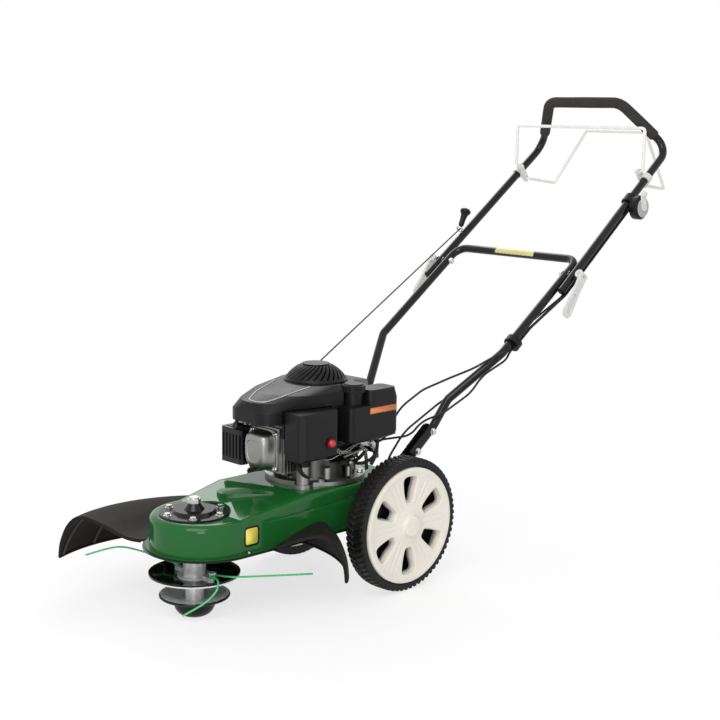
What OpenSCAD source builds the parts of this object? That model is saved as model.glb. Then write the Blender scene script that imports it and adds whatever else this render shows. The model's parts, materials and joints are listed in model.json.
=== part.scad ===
// Wheeled string trimmer: petrol engine, belt-driven cord head, two wheels and a folding handle
// The origin is on the ground under the cutting spindle, forward is -Y and the operator's left is +X

/* [Wheels] */
// Outer radius of the tyre
wheel_r = 150; // [144:1:170]
// Width of the tyre
tyre_w = 49; // [42:1:54]
// Distance from the middle of the machine to the middle of each tyre
track_half = 176; // [173:1:200]
// Radius of the moulded wheel under the tyre
rim_r = 130; // [118:1:136]
// Number of windows in each wheel
windows = 6; // [5:1:7]
// Inner radius of the wheel windows
window_in_r = 56; // [48:1:66]
// Outer radius of the wheel windows
window_out_r = 109; // [98:1:112]
// Number of tread lugs in each row
lugs = 36; // [24:1:48]
// Depth of the tread
tread = 5; // [3:0.5:7]
// Radius of the axle rod
axle_r = 6; // [5:0.5:8]

/* [Chassis] */
// Distance from the cutting spindle back to the axle
spindle_to_axle = 440; // [430:1:480]
// Distance from the cutting spindle back to the crankshaft
spindle_to_crank = 340; // [330:1:345]
// Half width of the deck
deck_half_w = 114; // [108:1:118]
// Height of the deck's lower edge above the ground
deck_z = 148; // [146:1:156]
// Height of the deck at its nose
deck_h = 70; // [66:1:80]
// Rise from the nose to the engine platform
platform_rise = 27; // [20:1:34]
// Distance of the nose arc's centre behind the spindle
nose_back = 25; // [10:1:30]
// Length of deck behind the axle
deck_tail = 50; // [46:1:70]
// Radius of the deck's rounded shoulder
shoulder_r = 16; // [8:1:20]
// Thickness of the pressed steel
sheet = 2.5; // [2:0.1:4]
// Width of the deck's lower flange
flange_w = 9; // [7:1:14]
// Thickness of each side plate
side_plate_t = 4; // [3:0.5:6]

/* [Debris shield] */
// Outer radius of the shield about the spindle
shield_r = 320; // [310:1:322]
// Radius of the shield's crest
crest_r = 268; // [255:1:280]
// Height of the crest above the deck's lower edge
crest_h = 31; // [20:1:38]
// Depth of the skirt below the deck's lower edge
skirt_h = 63; // [45:1:75]
// Thickness of the moulding
shield_t = 4; // [3:0.5:5]
// Angle about the spindle where the shield starts, on the left
shield_from = 39; // [36:1:50]
// Angle about the spindle where the shield ends, in front on the right
shield_to = 207; // [190:1:220]

/* [Cutting head] */
// Radius of the upper disc
upper_disc_r = 96; // [85:1:105]
// Height of the upper disc's rim
upper_rim_z = 94; // [88:1:100]
// Radius of the lower disc
lower_disc_r = 75; // [65:1:85]
// Height of the lower disc's rim
lower_rim_z = 45; // [40:1:52]
// Radius of the glide bowl
bowl_r = 45; // [38:1:55]
// Radius of the flat foot under the bowl
foot_r = 20; // [14:1:26]
// Radius of the spindle shaft
spindle_r = 10; // [8:0.5:12]
// Radius of the cutting line
line_r = 2; // [1.5:0.1:2.5]

/* [Belt drive] */
// Pitch radius of the pulley on the spindle
spindle_pulley_r = 46; // [40:1:52]
// Pitch radius of the pulley on the crankshaft
engine_pulley_r = 34; // [30:1:40]
// Height of the belt's middle above the ground
belt_z = 176; // [174:0.5:178]
// Width of the belt's back
belt_w = 12; // [10:0.5:13]
// Thickness of the belt
belt_t = 8; // [6:0.5:9]

/* [Handle] */
// Radius of the handle tube
tube_r = 10; // [9:0.5:11]
// Wall of the handle tube
tube_wall = 1.5; // [1.2:0.1:2.5]
// Half width of the lower handle
lower_half_w = 193; // [180:1:200]
// Distance from the lower handle's top corner down to the fold bolt
clamp_back = 54; // [46:1:64]
// Length of upper tube below the fold bolt
tube_tail = 60; // [40:1:80]
// Length of upper tube from the fold bolt to the grip bend
upper_len = 492; // [450:1:520]
// Slope of the upper tubes in degrees
upper_slope = 37; // [34:0.5:40]
// Half width of the upper handle at the grip bend
upper_half_w = 202; // [196:1:208]
// Length from the grip bend to the grip bar
grip_reach = 147; // [135:1:160]
// Direction of the grip's sides in degrees from rearwards
grip_lean = 129; // [122:1:135]
// Half width of the grip bar between its corners
grip_half_w = 113; // [100:1:125]
// Radius of the foam grip
foam_r = 14; // [12.5:0.5:15]
// Radius of the bail wires
wire_r = 4; // [3:0.5:4.5]

/* [Engine] */
// Radius of the crankcase's bolting flange
engine_flange_r = 112; // [108:1:118]
// Height of the blower housing's lower edge above the platform
blower_z = 152; // [150:1:158]
// Height of the dome's seat above the platform
dome_z = 216; // [210:1:224]
// Radius of the dome at its seat
dome_r = 71; // [64:1:74]
// Height of the dome
dome_h = 36; // [30:1:40]
// Number of air slots in the dome
slots = 28; // [18:1:32]
// Radius of the crankshaft
crank_r = 11; // [9:0.5:12]

/* [Hidden] */
$fn = 64;

// Clearances: a running fit, a seat within one body and a gap between bodies
fit = 0.05;
seat = 0.03;
gap = 0.3;

// Overlap that makes a cut pass through a face
over = 1;

// Half width and height of the weld rings in a bent tube
weld_w = 0.2;
bar_trim = 0.05;
weld_h = 0.01;

// Places worked out from the driving sizes
axle_y = spindle_to_axle;
axle_z = wheel_r;
crank_y = spindle_to_crank;
deck_rear = axle_y + deck_tail;
deck_top = deck_z + deck_h;
platform_z = deck_top + platform_rise;
flange_end = crank_y - 10;
cover_t = 3;
cover_end = crank_y + engine_pulley_r + 18;

// Handle places in the plane of one leg, as rearward and height values
plate_low = [axle_y + 88, axle_z + 141];
plate_high = [axle_y + 137, axle_z + 180];
plate_front = [axle_y - 42, axle_z + 42];
plate_rear = [axle_y + 28, axle_z + 48];
leg_foot = plate_low - [9, 7];
leg_bend = [axle_y + 197, axle_z + 246];
leg_kink = [axle_y + 308, axle_z + 350];
leg_top = [axle_y + 584, axle_z + 550];
leg_x = deck_half_w + side_plate_t + tube_r + 0.2;
leg_dir = (leg_top - leg_kink) / norm(leg_top - leg_kink);
fold = leg_top - clamp_back * leg_dir;
up_dir = [cos(upper_slope), sin(upper_slope)];
up_normal = [-sin(upper_slope), cos(upper_slope)];
bend_at = fold + upper_len * up_dir;
grip_at = bend_at + grip_reach * [cos(grip_lean), sin(grip_lean)];
washer_t = 1.5;
fold_half_w = lower_half_w + 2 * tube_r + washer_t;
tube_bend_r = 32;
grip_bend_r = 40;

// Throttle and bail places along the upper tube
throttle_at = 282;
clip_at = 370;
clip_w = 16;
clip_wall = 4;
clip_ear = 8;
ear_reach = 21;
clip_x = leg_half_w(clip_at);
stop_pin = tube_point(clip_at) + ear_reach * up_normal;
clutch_pin = tube_point(clip_at) - ear_reach * up_normal;
stop_bar = stop_pin + [0, 108];
ear_out = clip_x - tube_r - 0.2;
ear_in = ear_out - clip_ear;

// Engine places, from the crankshaft on the platform
cyl_near = 62;
cyl_far = 142;
cyl_axis_z = 82;
cover_x = 70;
primer_at = [136, -78, 106];
oil_at = [72, -100];
oil_top = 48;
neck_at = [98, 22];
neck_top = 200;
tank_x = [74, 136];
tank_y = [-20, 130];
tank_z = [92, 202];
flywheel_r = 66;

// Height of the belt tensioner's arm
arm_z = belt_z + 14;

// Lines, cords and cables follow points that are chosen by hand
line_right_route = [[60, 6.1, 98], [99, 27, 99], [135, 97, 95], [165, 184, 87]];
line_front_route = [[60, -6.1, 98], [84, -10, 100], [100, -17, 96], [106, -28, 82], [100, -52, 62],
    [82, -94, 40]];
line_left_route = [[-60, -6.1, 98], [-98, -14, 100], [-150, -26, 106], [-210, -48, 106], [-266, -92, 84]];
rope_from = [-64.5, 377, platform_z + dome_z + 2.3];
cable_top = throttle_at - 12.2;
bracket_y = crank_y + 98.8;
cable_hole = [deck_half_w - 22, deck_rear - 16];
throttle_route = [beside_tube(cable_top, 7.5, -11.5), beside_tube(-tube_tail, 7.5, -11.5),
    beside_leg(0.3, 12, -8.5), beside_leg(0.06, 12, -8.5),
    from_axle(lower_half_w + 14, 304, 356), from_axle(lower_half_w - 3, 272, 342),
    from_axle(between_legs(0.57), 245, 319), from_axle(leg_x + 12, 189, 299),
    from_axle(leg_x - 18, 130, 274), from_axle(leg_x - 42, 80, 234),
    [90, bracket_y + 31, platform_z + 77], [90, bracket_y, platform_z + 71]];
stop_route = [beside_tube(cable_top, 1.5, -13.5), beside_tube(-tube_tail, 1.5, -13.5),
    beside_leg(0.3, 2, -14.5), beside_leg(0.06, 2, -14.5),
    from_axle(lower_half_w + 6, 315, 334), from_axle(lower_half_w - 12, 254, 302),
    from_axle(between_legs(0.68), 225, 264), from_axle(leg_x + 18, 164, 222),
    from_axle(leg_x - 11, 120, 202), from_axle(leg_x - 20, 95, 172),
    [68, bracket_y + 41, platform_z + 69], [68, bracket_y, platform_z + 67]];
clutch_route = [beside_tube(cable_top, -4.5, -13.2), beside_tube(-tube_tail, -4.5, -16),
    beside_leg(0.3, -9, -11.5), beside_leg(0.06, -9, -11.5),
    from_axle(lower_half_w - 19, 297, 321), from_axle(between_legs(0.3), 253, 278),
    from_axle(leg_x - 20, 200, 240), from_axle(leg_x - 26, 80, 182),
    [cable_hole[0], cable_hole[1], platform_z + 23], [cable_hole[0], cable_hole[1], platform_z - 31],
    [60, crank_y + 90, arm_z - 6], [58, crank_y - 22, arm_z - 6]];
cable_r = 2.5;
rope_r = 2.2;

// Vector helpers
function unit(v) = v / norm(v);
function yz(x, p) = [x, p[0], p[1]];
function lerp(a, b, t) = a + (b - a) * t;
function extend(p, e) = let (n = len(p) - 1) [for (i = [0 : n])
    i == 0 ? p[0] - e * unit(p[1] - p[0]) : i == n ? p[n] + e * unit(p[n] - p[n - 1]) : p[i]];
function tube_point(s) = fold + s * up_dir;
function beside_tube(s, out, up) = yz(leg_half_w(s) + out, tube_point(s) + up * up_normal);
function beside_leg(t, out, up) = let (normal = [-leg_dir[1], leg_dir[0]])
    yz(lower_half_w + out, lerp(leg_kink, leg_top, t) + up * normal);
function between_legs(t) = lerp(leg_x, lower_half_w, t);
function from_axle(x, y, z) = [x, axle_y + y, axle_z + z];
function leg_half_w(s) = lerp(fold_half_w, upper_half_w, s / upper_len);

// Smooth route through hand-chosen points
function route_point(p, i, t) = let (
    n = len(p) - 1,
    a = p[max(i - 1, 0)],
    b = p[i],
    c = p[i + 1],
    d = p[min(i + 2, n)])
    0.5 * (2 * b + (c - a) * t + (2 * a - 5 * b + 4 * c - d) * t * t + (3 * b - a - 3 * c + d) * t * t * t);
function smooth_route(p, steps) = [for (i = [0 : len(p) - 2]) for (k = [0 : steps - 1])
    route_point(p, i, k / steps), p[len(p) - 1]];

// Shapes that repeat
module both_sides() {
    children();
    mirror([1, 0, 0]) children();
}

module along(a, d) {
    translate(a) rotate([0, acos(d.z / norm(d)), atan2(d.y, d.x)]) children();
}

module rod(a, b, r) {
    along(a, b - a) cylinder(r = r, h = norm(b - a));
}

// A straight bar with round ends, flat in the plane
module bar2d(a, b, r) {
    translate(a) circle(r);
    translate(b) circle(r);
    side = r - bar_trim;
    translate(a) rotate(atan2(b[1] - a[1], b[0] - a[0]))
        translate([0, -side]) square([norm(b - a), 2 * side]);
}

// A rectangle with round corners, from its middle
module rounded2d(w, h, r) {
    square([w - 2 * r, h], center = true);
    square([w, h - 2 * r], center = true);
    for (sx = [-1, 1], sy = [-1, 1]) translate([sx * (w / 2 - r), sy * (h / 2 - r)]) circle(r);
}

// A box with round upright edges between two corners
module rounded_box(low, high, r) {
    size = high - low;
    translate([low.x + size.x / 2, low.y + size.y / 2, low.z])
        linear_extrude(size.z) rounded2d(size.x, size.y, r);
}

// Plan of the deck's nose with a straight run to a place behind it
module nose_plan(r, end) {
    translate([0, nose_back]) circle(r);
    translate([-r, nose_back]) square([2 * r, end - nose_back]);
}

// Places a side view, drawn as rearward and height values, at a distance to the left
module side_view(x, t) {
    translate([x, 0, 0]) rotate([90, 0, 90]) linear_extrude(t) children();
}

// A round bend between two straight tubes
module tube_bend(a, m, b, r, bend) {
    u = unit(m - a);
    v = unit(b - m);
    turn = acos(u * v);
    axis = unit(cross(u, v));
    side = cross(axis, u);
    mid = m - u * bend * tan(turn / 2) + side * bend;
    multmatrix([
        [-side.x, u.x, axis.x, mid.x],
        [-side.y, u.y, axis.y, mid.y],
        [-side.z, u.z, axis.z, mid.z],
        [0, 0, 0, 1]])
        rotate_extrude(angle = turn) translate([bend, 0]) circle(r);
}

function bend_cut(p, i, bend) = bend * tan(acos(unit(p[i] - p[i - 1]) * unit(p[i + 1] - p[i])) / 2);

// A tube along straight runs that are joined by round bends, with a thin weld ring over each joint
module bent_tube(p, r, bend) {
    n = len(p) - 1;
    for (i = [0 : n - 1]) {
        d = unit(p[i + 1] - p[i]);
        a = i == 0 ? p[0] : p[i] + d * bend_cut(p, i, bend);
        b = i == n - 1 ? p[n] : p[i + 1] - d * bend_cut(p, i + 1, bend);
        rod(a, b, r);
        if (i > 0) rod(a - weld_w * d, a + weld_w * d, r + weld_h);
        if (i < n - 1) rod(b - weld_w * d, b + weld_w * d, r + weld_h);
    }
    for (i = [1 : n - 1]) tube_bend(p[i - 1], p[i], p[i + 1], r, bend);
}

module hollow_tube(p, r, wall, bend) {
    difference() {
        bent_tube(p, r, bend);
        bent_tube(extend(p, over), r - wall, bend);
    }
}

// A round cord swept along a smooth route
module cord(points, r, steps) {
    sides = 8;
    path = smooth_route(points, steps);
    n = len(path) - 1;
    rings = [for (i = [0 : n]) let (
        d = unit(path[min(i + 1, n)] - path[max(i - 1, 0)]),
        s = unit(cross(d, [0, 0, 1])),
        t = cross(s, d))
        for (k = [0 : sides - 1]) path[i] + r * (cos(360 * k / sides) * s + sin(360 * k / sides) * t)];
    walls = [for (i = [0 : n - 1]) for (k = [0 : sides - 1]) let (
        a = i * sides + k,
        b = i * sides + (k + 1) % sides)
        each [[a, a + sides, b + sides], [a, b + sides, b]]];
    caps = [[for (k = [0 : sides - 1]) k], [for (k = [sides - 1 : -1 : 0]) n * sides + k]];
    polyhedron(rings, concat(walls, caps));
}

// A hexagon head with its washer and shank, standing on the origin
module hex_bolt(r, shank) {
    cylinder(r = 2.1 * r, h = 1.2);
    cylinder(r = 1.7 * r, h = 1.2 * r + 1.2, $fn = 6);
    translate([0, 0, -shank]) cylinder(r = r, h = shank);
}

// Bolt places
cap_bolt_r = 62;
cap_bolts = 6;
flange_bolts_y = [48, 205];
flange_bolt_r = 2;
engine_bolt_r = 101;
engine_bolt_angles = [40, 140, 215, 325];
bolt_r = 4;

module on_cap_bolts() {
    for (i = [0 : cap_bolts - 1]) rotate(i * 360 / cap_bolts + 20) translate([cap_bolt_r, 0, 0]) children();
}

module on_flange_bolts() {
    x = deck_half_w + flange_w / 2 + 0.5;
    for (y = flange_bolts_y, s = [-1, 1]) translate([s * x, y, 0]) children();
}

module on_engine_bolts() {
    for (a = engine_bolt_angles)
        translate([0, crank_y, 0]) rotate(a) translate([engine_bolt_r, 0, 0]) children();
}

// Turned so that the local Z axis points out to the left, at a place in the side view
module from_left(x, p) {
    translate(yz(x, p)) rotate([0, 90, 0]) children();
}

// Half section of the pressed deck, inset by the sheet for its inner side
module deck_section(inset) {
    r = shoulder_r - inset;
    w = deck_half_w - inset;
    low = inset > 0 ? over : 0;
    translate([0, deck_z]) {
        translate([0, -low]) square([w, deck_h - inset - r + low]);
        translate([0, -low]) square([w - r, deck_h - inset + low]);
        translate([w - r, deck_h - inset - r]) circle(r);
    }
}

module deck_form(inset) {
    run = deck_rear - nose_back - inset;
    difference() {
        union() {
            translate([0, nose_back, 0]) rotate([0, 0, 180]) rotate_extrude(angle = 180) deck_section(inset);
            translate([0, deck_rear - inset, 0]) rotate([90, 0, 0]) linear_extrude(run) {
                deck_section(inset);
                mirror([1, 0]) deck_section(inset);
            }
            ramp_form(inset);
            pad_form(inset);
        }
        translate([0, 0, deck_top - inset]) cylinder(r = cap_r + 3 + inset, h = platform_rise);
    }
}

// Ramp with round shoulders that rises to the engine platform, further forward on the right
ramp_from = 40;
ramp_right = 150;
ramp_left = 226;

module ramp_form(inset) {
    r = shoulder_r - inset;
    x = deck_half_w - shoulder_r;
    hull($fn = 32) {
        for (s = [-1, 1]) translate([s * x, ramp_from, deck_top - shoulder_r])
            rotate([90, 0, 0]) cylinder(r = r, h = 1);
        for (e = [[-x, ramp_right], [x, ramp_left]])
            translate([e[0], deck_rear - inset, platform_z - shoulder_r])
                rotate([90, 0, 0]) cylinder(r = r, h = deck_rear - inset - e[1]);
    }
}

// Raised pad over the belt, level with the platform
module pad_form(inset) {
    translate([0, 0, deck_top - inset]) linear_extrude(platform_rise - 4)
        bar2d([-24, 112], [36, 184], 26 - inset);
}

// Idler stud under the platform
idler_pivot = [deck_half_w - 26, crank_y - 108];
idler_at = [engine_pulley_r + belt_t + 34, 152];
idler_r = 24;
stud_r = 5;
arm_t = 4;

module deck() {
    color("darkgreen") difference() {
        union() {
            difference() {
                union() {
                    deck_form(0);
                    lower_lip();
                }
                deck_form(sheet);
            }
            translate([idler_pivot[0], idler_pivot[1], arm_z - 4])
                cylinder(r = stud_r, h = platform_z - sheet / 2 - arm_z + 4);
        }
        translate([0, 0, deck_top - 2 * sheet]) cylinder(r = housing_r + gap, h = 4 * sheet);
        translate([0, crank_y, platform_z - 2 * sheet]) cylinder(r = 2 * crank_r + 4, h = 4 * sheet);
        translate([0, 0, deck_top - 2 * sheet]) on_cap_bolts() cylinder(r = bolt_r + seat, h = 4 * sheet);
        translate([0, 0, deck_z - sheet]) on_flange_bolts() cylinder(r = flange_bolt_r + seat, h = 4 * sheet);
        translate([0, 0, platform_z - 2 * sheet]) on_engine_bolts()
            cylinder(r = bolt_r + seat, h = 4 * sheet);
        both_sides() for (p = [plate_front, plate_rear])
            from_left(deck_half_w - 2 * sheet, p) cylinder(r = bolt_r + seat, h = 4 * sheet);
        translate([0, axle_y, axle_z]) rotate([0, 90, 0])
            cylinder(r = axle_r + 2, h = 3 * deck_half_w, center = true);
        translate([cable_hole[0], cable_hole[1], platform_z - 2 * sheet])
            cylinder(r = 2 * cable_r, h = 4 * sheet);
    }
}

// Flat lip round the deck's lower edge
module lower_lip() {
    translate([0, nose_back, 0]) rotate([0, 0, 180]) rotate_extrude(angle = 180)
        translate([deck_half_w - sheet, deck_z]) square([flange_w + sheet, sheet]);
    both_sides() translate([deck_half_w - sheet, nose_back, deck_z])
        cube([flange_w + sheet, flange_end - nose_back, sheet]);
}

module belt_cover() {
    color("dimgray") translate([0, 0, deck_z - cover_t]) difference() {
        linear_extrude(cover_t) {
            nose_plan(deck_half_w + flange_w + 5, flange_end);
            translate([-deck_half_w + 2 * sheet, 0]) square([2 * (deck_half_w - 2 * sheet), cover_end]);
        }
        translate([0, 0, -over]) cylinder(r = 30, h = cover_t + 2 * over);
        translate([0, 0, -over]) on_flange_bolts() cylinder(r = flange_bolt_r + seat, h = cover_t + 2 * over);
    }
}

// Cross-section of the shield: flat under the deck, over the crest and down to the rim
shield_foot_r = deck_half_w + 41;
shield_knee_r = lerp(shield_foot_r, crest_r, 0.55);
function shield_line() = [
    [deck_half_w - 30, deck_z - cover_t],
    [shield_foot_r, deck_z - cover_t],
    [shield_knee_r, deck_z + 0.66 * crest_h],
    [crest_r, deck_z + crest_h],
    [lerp(crest_r, shield_r, 0.55), deck_z + 0.35 * crest_h],
    [shield_r - 4, deck_z - 0.45 * skirt_h],
    [shield_r, deck_z - skirt_h]];

// The shield's line from one of its points on, moved towards its underside
function shield_offset(t, from, short) = let (p = shield_line(), n = len(p) - 1) [for (i = [from : n]) let (
    d = unit(p[min(i + 1, n)] - p[max(i - 1, 0)]))
    p[i] + t * [d[1], -d[0]] - (i == n ? short : 0) * d];

function reversed(p) = [for (i = [len(p) - 1 : -1 : 0]) p[i]];

module shield_section(above, below, from, short) {
    polygon(concat(shield_offset(-above, from, short), reversed(shield_offset(below, from, short))));
}

rib_h = 3;

module debris_shield() {
    sweep = shield_to - shield_from;
    color("dimgray") difference() {
        union() {
            rotate(shield_from) rotate_extrude(angle = sweep) shield_section(0, shield_t, 0, 0);
            for (a = [shield_from + 0.4, shield_from + 22, 152, 172, 192, shield_to - 1.6])
                rotate(a) rotate_extrude(angle = 1.2) shield_section(rib_h, shield_t / 2, 1, rib_h);
        }
        deck_room = deck_half_w + flange_w + 6;
        translate([0, 0, deck_z - cover_t]) linear_extrude(crest_h + 40) nose_plan(deck_room, 2 * shield_r);
        translate([0, 0, deck_z - 20]) on_flange_bolts() cylinder(r = flange_bolt_r + seat, h = 40);
        rotate(cutter_angle) translate([cutter_r, 0, deck_z - 60]) cylinder(r = bolt_r + seat, h = 100);
    }
}

// Blade that trims the line, under the shield
cutter_angle = 196;
blade = [36, 22, 2];
blade_back = 14;
cutter_r = shield_knee_r + blade_back;

module line_cutter() {
    color("silver") rotate(cutter_angle) translate([cutter_r, 0, shield_z(cutter_r) - 0.4])
        rotate([0, -shield_tilt(cutter_r), 0])
            translate([-blade_back, -blade.y / 2, -shield_t - blade.z - 0.2]) cube(blade);
}

function shield_z(r) = lookup(r, shield_line());
function shield_tilt(r) = atan2(shield_z(r + 3) - shield_z(r - 3), 6);

// Bearing housing with its cap plate on top of the deck's nose
housing_r = 31;
cap_r = 73;
cap_t = 4;
cone_h = 13;
bearing_r = 23.5;
bearing_w = 13;
housing_low = belt_z + 12;

module spindle_housing() {
    color("dimgray") difference() {
        union() {
            translate([0, 0, deck_top]) cylinder(r = cap_r, h = cap_t);
            translate([0, 0, deck_top + cap_t]) cylinder(r1 = 48, r2 = 42, h = 6);
            translate([0, 0, deck_top + cap_t + 6]) cylinder(r1 = 22, r2 = 12.5, h = cone_h);
            translate([0, 0, housing_low]) cylinder(r = housing_r, h = deck_top - housing_low);
        }
        translate([0, 0, housing_low - over]) cylinder(r = bearing_r + seat, h = 2 * bearing_w + 3 + over);
        translate([0, 0, housing_low]) cylinder(r = spindle_r + 1, h = deck_top);
        translate([0, 0, deck_top - over]) on_cap_bolts() cylinder(r = bolt_r + seat, h = cap_t + 2 * over);
    }
}

module spindle_bearings() {
    color("silver") for (i = [0, 1]) translate([0, 0, housing_low + 0.5 + i * (bearing_w + 1)])
        rotate_extrude() difference() {
            translate([spindle_r + fit, 0]) square([bearing_r - spindle_r - fit, bearing_w]);
            for (z = [0, bearing_w])
                translate([(bearing_r + spindle_r) / 2, z]) square([5, 2], center = true);
        }
}

module side_plates() {
    color("dimgray") both_sides() difference() {
        side_view(deck_half_w, side_plate_t) {
            bar2d([axle_y, axle_z], plate_front, 20);
            bar2d([axle_y, axle_z], plate_rear, 20);
            bar2d(plate_front, plate_low, 15);
            bar2d(plate_rear, plate_low, 15);
            bar2d(plate_low, plate_high, 16);
            polygon([[axle_y, axle_z], plate_front, plate_low, plate_rear]);
        }
        from_left(deck_half_w - over, [axle_y, axle_z])
            cylinder(r = axle_r + seat, h = side_plate_t + 2 * over);
        for (p = [plate_front, plate_rear, plate_low, plate_high])
            from_left(deck_half_w - over, p) cylinder(r = bolt_r + seat, h = side_plate_t + 2 * over);
    }
}

// Zinc bolts of the deck, engine, side plates and wheels
module bolts() {
    color("silver") {
        translate([0, 0, deck_top + cap_t]) on_cap_bolts() hex_bolt(bolt_r, cap_t + sheet + 2);
        translate([0, 0, deck_z + sheet]) on_flange_bolts() hex_bolt(flange_bolt_r, sheet + cover_t + 2);
        translate([0, 0, platform_z + flange_t]) on_engine_bolts() hex_bolt(bolt_r, flange_t + sheet + 3);
        both_sides() {
            for (p = [plate_front, plate_rear])
                from_left(deck_half_w + side_plate_t, p) hex_bolt(bolt_r, side_plate_t + sheet + 3);
            for (p = [plate_low, plate_high])
                from_left(leg_x + tube_r, p) hex_bolt(bolt_r, 2 * tube_r + side_plate_t + 4);
            from_left(track_half + hub_half + 1, [axle_y, axle_z]) axle_nut();
        }
    }
}

// Nut that holds a wheel on the axle, inside the hub cap
hub_half = 26;
nut_h = 5;

module axle_nut() {
    difference() {
        cylinder(r = axle_r + 4, h = nut_h, $fn = 6);
        translate([0, 0, -over]) cylinder(r = axle_r + seat, h = nut_h + 2 * over);
    }
}

module axle() {
    color("silver") {
        end_x = track_half + hub_half + 1 + nut_h;
        rod([-end_x, axle_y, axle_z], [end_x, axle_y, axle_z], axle_r);
        both_sides() from_left(deck_half_w + side_plate_t, [axle_y, axle_z])
            cylinder(r = axle_r + 5, h = track_half - hub_half - deck_half_w - side_plate_t - gap);
    }
}

// Wheels, drawn about Z with the outer face up
module on_axle(side) {
    translate([side * track_half, axle_y, axle_z]) rotate([0, side * 90, 0]) children();
}

module lug_row(low, high, phase) {
    lug_w = 0.5 * 360 / lugs;
    translate([0, 0, low]) linear_extrude(high - low) intersection() {
        circle(wheel_r);
        union() {
            circle(wheel_r - tread);
            for (i = [0 : lugs - 1]) rotate(i * 360 / lugs + phase)
                polygon([[0, 0], wheel_r * 1.1 * [cos(lug_w / 2), -sin(lug_w / 2)],
                    wheel_r * 1.1 * [cos(lug_w / 2), sin(lug_w / 2)]]);
        }
    }
}

// Tyre: rounded carcass with three staggered rows of lugs
module tyre() {
    half = tyre_w / 2;
    color("black") difference() {
        union() {
            rotate_extrude() polygon([[rim_r - 2, -half + 5], [rim_r + 4, -half],
                [wheel_r - tread - 5, -half],
                [wheel_r - tread, -half + 5], [wheel_r - tread, half - 5], [wheel_r - tread - 5, half],
                [rim_r + 4, half], [rim_r - 2, half - 5]]);
            lug_row(-half + 1, -half / 3 - 1.5, 0);
            lug_row(-half / 3 + 1.5, half / 3 - 1.5, 180 / lugs);
            lug_row(half / 3 + 1.5, half - 1, 0);
        }
        translate([0, 0, -tyre_w]) cylinder(r = rim_r + seat, h = 2 * tyre_w);
    }
}

// Opening between two spokes, with rounded corners
module wheel_window() {
    span = 360 / windows * 0.4;
    corner = 5;
    reach = 2 * window_out_r;
    offset(corner, $fn = 24) offset(-corner) intersection() {
        difference() {
            circle(window_out_r);
            circle(window_in_r);
        }
        polygon([[0, 0], reach * [cos(span / 2), -sin(span / 2)], reach * [cos(span / 2), sin(span / 2)]]);
    }
}

// Moulded wheel with a dished web, windows, hub and closed cap
module rim() {
    half = tyre_w / 2;
    cap_top = hub_half + nut_h + 6;
    color("white") difference() {
        rotate_extrude() {
            translate([rim_r - 7, -half + 4]) square([7, tyre_w]);
            translate([rim_r - 15, half - 1]) square([15, 5]);
            polygon([[24, 12], [rim_r - 5, 8], [rim_r - 5, half - 1], [rim_r - 15, half + 4],
                [window_out_r + 2, half - 2], [window_in_r - 6, half], [24, half + 2]]);
            translate([axle_r + 0.5, -hub_half]) square([16, 2 * hub_half]);
            translate([18, hub_half - 8]) square([8, cap_top - hub_half + 5]);
            translate([0, cap_top - 3]) square([24, 3]);
        }
        translate([0, 0, -hub_half - over]) cylinder(r = axle_r + fit, h = 2 * hub_half + over);
        for (i = [0 : windows - 1]) rotate(i * 360 / windows + 90)
            linear_extrude(tyre_w) wheel_window();
    }
}

module tyre_left() {
    on_axle(1) tyre();
}

module tyre_right() {
    on_axle(-1) tyre();
}

module rim_left() {
    on_axle(1) rim();
}

module rim_right() {
    on_axle(-1) rim();
}

// Folding handle
leg_knee = plate_high + 14 * unit(plate_high - leg_foot);

function lower_path() = [
    yz(leg_x, leg_foot), yz(leg_x, leg_knee), yz(leg_x, leg_bend),
    yz(lower_half_w, leg_kink), yz(lower_half_w, leg_top), yz(-lower_half_w, leg_top),
    yz(-lower_half_w, leg_kink), yz(-leg_x, leg_bend), yz(-leg_x, leg_knee), yz(-leg_x, leg_foot)];

module lower_handle() {
    color("black") difference() {
        hollow_tube(lower_path(), tube_r, tube_wall, tube_bend_r);
        for (p = [plate_low, plate_high])
            translate(yz(0, p)) rotate([0, 90, 0])
                cylinder(r = bolt_r + seat, h = 4 * lower_half_w, center = true);
        translate(yz(0, fold)) rotate([0, 90, 0])
            cylinder(r = bolt_r + fit, h = 4 * lower_half_w, center = true);
    }
}

function upper_path() = [
    yz(leg_half_w(-tube_tail), tube_point(-tube_tail)), yz(upper_half_w, bend_at), yz(grip_half_w, grip_at),
    yz(-grip_half_w, grip_at), yz(-upper_half_w, bend_at),
    yz(-leg_half_w(-tube_tail), tube_point(-tube_tail))];

module upper_handle() {
    color("black") difference() {
        hollow_tube(upper_path(), tube_r, tube_wall, grip_bend_r);
        translate(yz(0, fold)) rotate([0, 90, 0])
            cylinder(r = bolt_r + seat, h = 4 * upper_half_w, center = true);
    }
}

// Foam sleeve over the grip bar and its sloping sides
module grip_foam() {
    start = lerp(upper_path()[1], upper_path()[2], 0.27);
    path = [start, upper_path()[2], upper_path()[3], [-start.x, start.y, start.z]];
    color("black") difference() {
        bent_tube(path, foam_r, grip_bend_r);
        bent_tube(extend(path, over), tube_r + seat, grip_bend_r);
    }
}

// Clip that holds the three cables under the left leg
module cable_clips() {
    d = unit(yz(lower_half_w, leg_top) - yz(lower_half_w, leg_kink));
    at = beside_leg(0.1, 2, -4);
    color("black") difference() {
        along(at, d) cylinder(r = tube_r + 10, h = 16);
        rod(yz(lower_half_w, leg_kink), yz(lower_half_w, leg_top), tube_r + seat);
        for (p = [throttle_route, stop_route, clutch_route]) rod(p[2], p[3], cable_r + seat);
    }
}

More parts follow.
